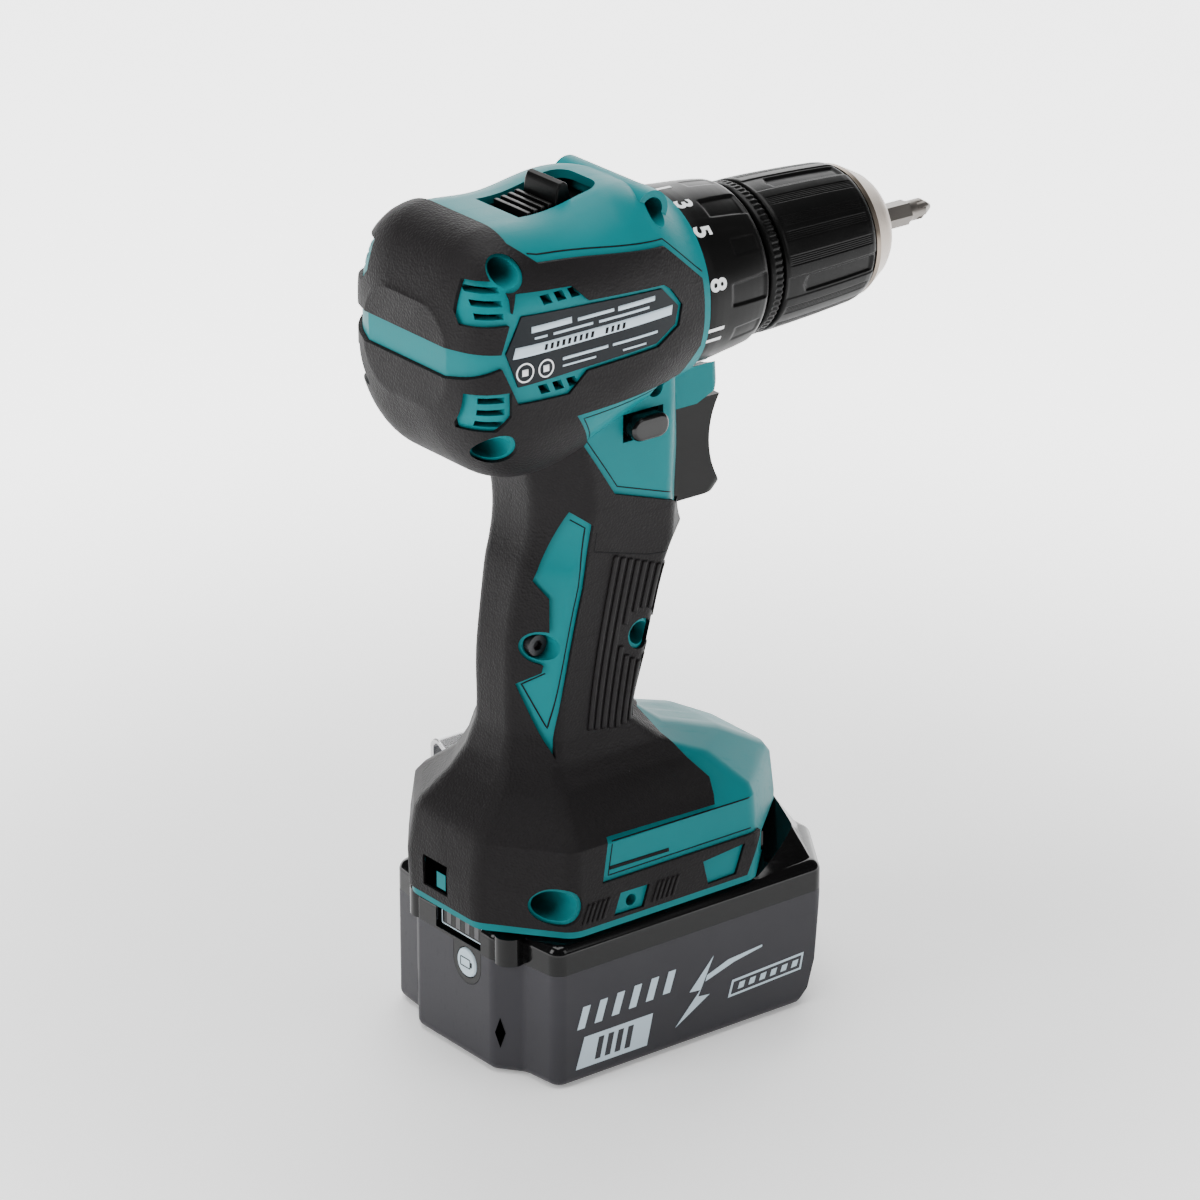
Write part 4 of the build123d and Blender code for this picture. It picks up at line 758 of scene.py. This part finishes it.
def makePlateMarks(spec, side):
    word = "right" if side < 0 else "left"

    def lay(name, grid, paint, lift=0.02, wrapU=False):
        layOn(name, grid, "nameplate_" + word, paint, "housing", "nameplate", spec["thick"], side, lift, wrapU)

    lay("plate_bar_" + word, panelGrid(spec["bar"], side), "print")
    for i, (start, end, z, high) in enumerate(spec["lines"]):
        corners = [(start, z - high / 2), (end, z - high / 2), (end, z + high / 2), (start, z + high / 2)]
        lay("plate_line_%s_%d" % (word, i), panelGrid(corners, side), "print")
    for start, z, count in spec["dashes"]:
        for i in range(count):
            x = start + spec["dashPitch"] * i
            wide, half, slant = spec["dash"]
            corners = [(x, z - half), (x + wide, z - half), (x + wide + slant, z + half), (x + slant, z + half)]
            lay("plate_dash_%s_%d_%d" % (word, -start, i), panelGrid(corners, side), "darkPrintAndGrooveShade", lift=0.1)
    for i, (x, z, radius) in enumerate(spec["badges"]):
        turn = np.radians(np.arange(0, 360, spec["badgeStep"]))
        ring = [(x + radius * math.cos(t), z + radius * math.sin(t)) for t in turn]
        grid = stripGrid(ring, spec["badgeLine"], side, spec["fine"], True)
        lay("plate_badge_%s_%d" % (word, i), grid, "white", wrapU=True)
        half = spec["dot"]
        dot = [(x - half, z - half), (x + half, z - half), (x + half, z + half), (x - half, z + half)]
        lay("plate_dot_%s_%d" % (word, i), panelGrid(dot, side, spec["fine"]), "white")


for side in (-1, 1):
    makeGripRibs(gripRibs, side)
    makePlateMarks(plateMarks, side)
print("grip and plates made")


# battery print: plain bars, a bolt and chevrons, on the flat sides

batteryMarks = {
    "panel": [(-41.0, 4.2), (-16.5, 4.2), (-14.4, 13.4), (-38.0, 13.4)],
    "panelBars": [-34.6, -31.2, -27.8, -24.4],
    "tall": [-40.5, -34.6, -28.7, -22.8, -16.9, -11.0],
    "bolt": [(-6.5, 6.5), (2.2, 15.4), (-1.6, 15.8), (6.8, 24.5), (1.4, 13.6), (5.4, 13.2)],
    "sweep": [(4.0, 17.5), (14.0, 20.5), (24.0, 22.2), (24.0, 22.8), (12.0, 21.8), (4.5, 19.2)],
    "outlineBar": [(12.0, 10.0), (38.0, 11.0), (39.0, 16.0), (13.5, 15.0)],
    "innerBar": [(12.9, 10.7), (37.4, 11.6), (38.2, 15.3), (14.0, 14.3)],
    "dashes": 6, "dashStart": 15.4, "dashPitch": 3.8, "dashRise": 0.14,
    "dash": [(0, 11.7), (2.0, 11.8), (2.7, 13.7), (0.7, 13.6)],
    "slot": [(0, 5.6), (1.9, 5.6), (3.4, 12.0), (1.5, 12.0)],
    "tallBar": [(0, -6.4), (2.5, -6.4), (4.6, 0), (2.1, 0)], "tallTop": 22.6, "tallRise": 0.35, "wall": 37.255,
}


def flatPrism(name, outline, y, side, paint, body, slot, thick=0.05):
    # a flat outline of (x, z) points, as a thin closed plate on a side wall
    spots = np.array(outline, float)
    area = np.sum(spots[:, 0] * np.roll(spots[:, 1], -1) - np.roll(spots[:, 0], -1) * spots[:, 1])
    if (area < 0) == (side < 0):
        spots = spots[::-1]
    near = np.stack([spots[:, 0], np.full(len(spots), y), spots[:, 1]], axis=-1)
    far = near + np.array([0, thick * side, 0])
    n = len(spots)
    ring = np.arange(n)
    sides = np.stack([ring, (ring + 1) % n, (ring + 1) % n + n, ring + n], axis=-1).tolist()
    faces = [ring[::-1].tolist(), (ring + n).tolist()] + sides
    return addMesh(name, np.vstack([near, far]) * mm, faces, paint, body, False)


def makeBatteryMarks(spec, side):
    word = "right_" if side < 0 else "left_"
    y = spec["wall"] * side
    plain = dict(body="battery", slot="battery_grey")
    flatPrism("print_panel_" + word + "a", spec["panel"], y, side, "print", **plain)
    for i, x in enumerate(spec["panelBars"]):
        bar = [(x + across, z) for across, z in spec["slot"]]
        flatPrism("print_slot_" + word + str(i), bar, y + 0.05 * side, side, "caseGrey", thick=0.03, **plain)
    for i, x in enumerate(spec["tall"]):
        top = spec["tallTop"] + spec["tallRise"] * i
        bar = [(x + across, top + z) for across, z in spec["tallBar"]]
        flatPrism("print_bar_" + word + str(i), bar, y, side, "print", **plain)
    flatPrism("print_bolt_" + word + "a", spec["bolt"], y, side, "print", **plain)
    flatPrism("print_sweep_" + word + "a", spec["sweep"], y, side, "print", **plain)
    flatPrism("print_box_" + word + "a", spec["outlineBar"], y, side, "print", **plain)
    flatPrism("print_box_" + word + "b", spec["innerBar"], y + 0.05 * side, side, "caseGrey", thick=0.03, **plain)
    for i in range(spec["dashes"]):
        x, rise = spec["dashStart"] + spec["dashPitch"] * i, spec["dashRise"] * i
        dash = [(x + across, z + rise) for across, z in spec["dash"]]
        flatPrism("print_dash_" + word + str(i), dash, y + 0.08 * side, side, "print", thick=0.02, **plain)


for side in (-1, 1):
    makeBatteryMarks(batteryMarks, side)
print("battery print made")


# charge gauge and check button faces, on the battery's rear

gaugePiece = {"y": -2.0, "z": 38.0, "wide": 18.6, "high": 5.2, "x": -53.02, "border": 0.35, "corner": 0.5,
              "bars": 4, "barStart": 6.0, "barPitch": 4.2, "barWide": 1.9, "barHigh": 3.6}


def rearPlate(name, outline, x, paint, body, slot, thick=0.05):
    # a thin closed plate facing backwards, from an outline of (y, z) points
    spots = np.array(outline, float)
    n = len(spots)
    area = np.sum(spots[:, 0] * np.roll(spots[:, 1], -1) - np.roll(spots[:, 0], -1) * spots[:, 1])
    if area > 0:
        spots = spots[::-1]
    base = np.stack([np.full(n, x), spots[:, 0], spots[:, 1]], axis=-1)
    top = base - np.array([thick, 0, 0])
    ring = np.arange(n)
    faces = [ring[::-1].tolist(), (ring + n).tolist()]
    faces += np.stack([ring, (ring + 1) % n, (ring + 1) % n + n, ring + n], axis=-1).tolist()
    return addMesh(name, np.vstack([base, top]) * mm, faces, paint, body, False)


def rounded(y, z, wide, high, corner, count=6):
    turn = np.linspace(0, math.pi / 2, count)
    arc = np.stack([np.cos(turn), np.sin(turn)], axis=-1) * corner
    arcs = []
    for k, (sy, sz) in enumerate(((1, 1), (-1, 1), (-1, -1), (1, -1))):
        a = k * math.pi / 2
        spin = np.array([[math.cos(a), math.sin(a)], [-math.sin(a), math.cos(a)]])
        arcs.append(arc @ spin + np.array([y + sy * (wide / 2 - corner), z + sz * (high / 2 - corner)]))
    return np.vstack(arcs)


def rearFrame(name, edge, inner, x, paint, own, thick=0.05):
    # a thin frame facing backwards, between an outer and an inner outline
    loops = [np.stack([np.full(len(r), d), r[:, 0], r[:, 1]], axis=-1)
             for r, d in ((edge, x), (edge, x - thick), (inner, x - thick), (inner, x))]
    addPiece(name, np.stack(loops) * mm, True, True, paint, smooth=False, **own)


def makeGauge(spec):
    y, z, x = spec["y"], spec["z"], spec["x"]
    own = dict(body="battery", slot="gauge")
    lost = 2 * spec["border"]
    edge = rounded(y, z, spec["wide"], spec["high"], spec["corner"])
    inner = rounded(y, z, spec["wide"] - lost, spec["high"] - lost, 0.6 * spec["corner"])
    rearFrame("gauge_frame", edge, inner, x, "print", own)
    for i in range(spec["bars"]):
        bar = rounded(y + spec["barStart"] - spec["barPitch"] * i, z, spec["barWide"], spec["barHigh"], 0.2)
        rearPlate("gauge_bar_" + str(i), bar, x, "gaugeBar", **own)


makeGauge(gaugePiece)

cornerMarks = {"x": -52.95, "y": 19.0, "z": 12.0, "half": 1.5, "high": 4.6, "slant": (0.603, 0.797),
               "lift": 0.06, "thick": 0.04}


def makeCornerMarks(spec):
    # a tall diamond on each slanted face beside the rear bulge, as a black sheet: painted shade of a hollow
    for side in (-1, 1):
        c, n = spec["slant"]
        along, out = Vector((c, n * side, 0)), Vector((-n, c * side, 0))
        middle = Vector((spec["x"], spec["y"] * side, spec["z"])) + out * spec["lift"]
        up = Vector((0, 0, 1))
        ring = [middle + up * spec["high"], middle + along * spec["half"], middle - up * spec["high"],
                middle - along * spec["half"]]
        ring = ring if side > 0 else ring[::-1]
        back = [p - out * spec["thick"] for p in ring]
        points = np.array([tuple(p) for p in ring + back]) * mm
        faces = [[0, 1, 2, 3], [7, 6, 5, 4]] + [[(i + 1) % 4, i, i + 4, (i + 1) % 4 + 4] for i in range(4)]
        addMesh("corner_mark_" + ("right" if side < 0 else "left"), points, faces, "hollowShade", "battery",
                False)


makeCornerMarks(cornerMarks)

# small socket at the back of the foot, with a bar standing in it

socketPiece = {"x": -57.98, "hole": [(-2.4, 48.7), (7.9, 48.7), (7.9, 57.2), (-2.4, 57.2)], "barX": -58.03,
               "bar": [(-1.4, 49.6), (2.6, 49.6), (2.6, 54.2), (-1.4, 54.2)]}
# the socket hole is a black sheet without shine: painted shade in place of its depth
rearPlate("rear_socket", socketPiece["hole"], socketPiece["x"], "hollowShade", "housing", "shell_teal")
rearPlate("rear_socket_bar", socketPiece["bar"], socketPiece["barX"], "teal", "housing", "shell_teal")

buttonPiece = {"y": -6.0, "z": 28.8, "x": -54.82, "wide": 4.6, "high": 2.9, "border": 0.3, "corner": 0.4,
               "end": (0.6, 1.5)}


def makeButtonIcon(spec):
    y, z, x = spec["y"], spec["z"], spec["x"]
    own = dict(body="check_button", slot="check_white")
    lost = 2 * spec["border"]
    edge = rounded(y + 0.3, z, spec["wide"], spec["high"], spec["corner"])
    inner = rounded(y + 0.3, z, spec["wide"] - lost, spec["high"] - lost, 0.25)
    rearFrame("button_icon", edge, inner, x, "darkPrintAndGrooveShade", own)
    rearPlate("button_icon_end", rounded(y - 2.4, z, *spec["end"], 0.15), x, "darkPrintAndGrooveShade", **own)


makeButtonIcon(buttonPiece)
print("gauge made")


# studio

floorPiece = {"half": 3.0, "cols": 40, "away": (0.6, 0.8), "start": 1.3, "curve": 0.8, "drop": 0.0004}


def addFloor(spec):
    cols = spec["cols"]
    line = np.linspace(-1, 1, cols) * spec["half"]
    x, y = np.meshgrid(line, line, indexing="ij")
    # the floor is flat near the tool, and past a start distance it climbs as the square of how much further it is
    past = np.clip((x * spec["away"][0] + y * spec["away"][1]) - spec["start"], 0, None)
    points = np.stack([x, y, past ** 2 * spec["curve"] - spec["drop"]], axis=-1)
    index = np.arange(cols * cols).reshape(cols, cols)
    quads = np.stack([index[:-1, :-1], index[1:, :-1], index[1:, 1:], index[:-1, 1:]], axis=-1).reshape(-1, 4)
    data = bpy.data.meshes.new("floor")
    data.from_pydata(points.reshape(-1, 3).tolist(), [], quads.tolist())
    data.polygons.foreach_set("use_smooth", np.full(len(data.polygons), True))
    data.materials.append(paints["floor"])
    floor = bpy.data.objects.new("floor", data)
    bpy.context.scene.collection.objects.link(floor)


addFloor(floorPiece)
addCamera(cameraSetup)
for name, spec in lightSetup.items():
    addLight(name, **spec)
world = bpy.data.worlds.new("studio")
bpy.context.scene.world = world
world.use_nodes = True
world.node_tree.nodes["Background"].inputs["Color"].default_value = (1, 1, 1, 1)
world.node_tree.nodes["Background"].inputs["Strength"].default_value = worldStrength
print("studio made")
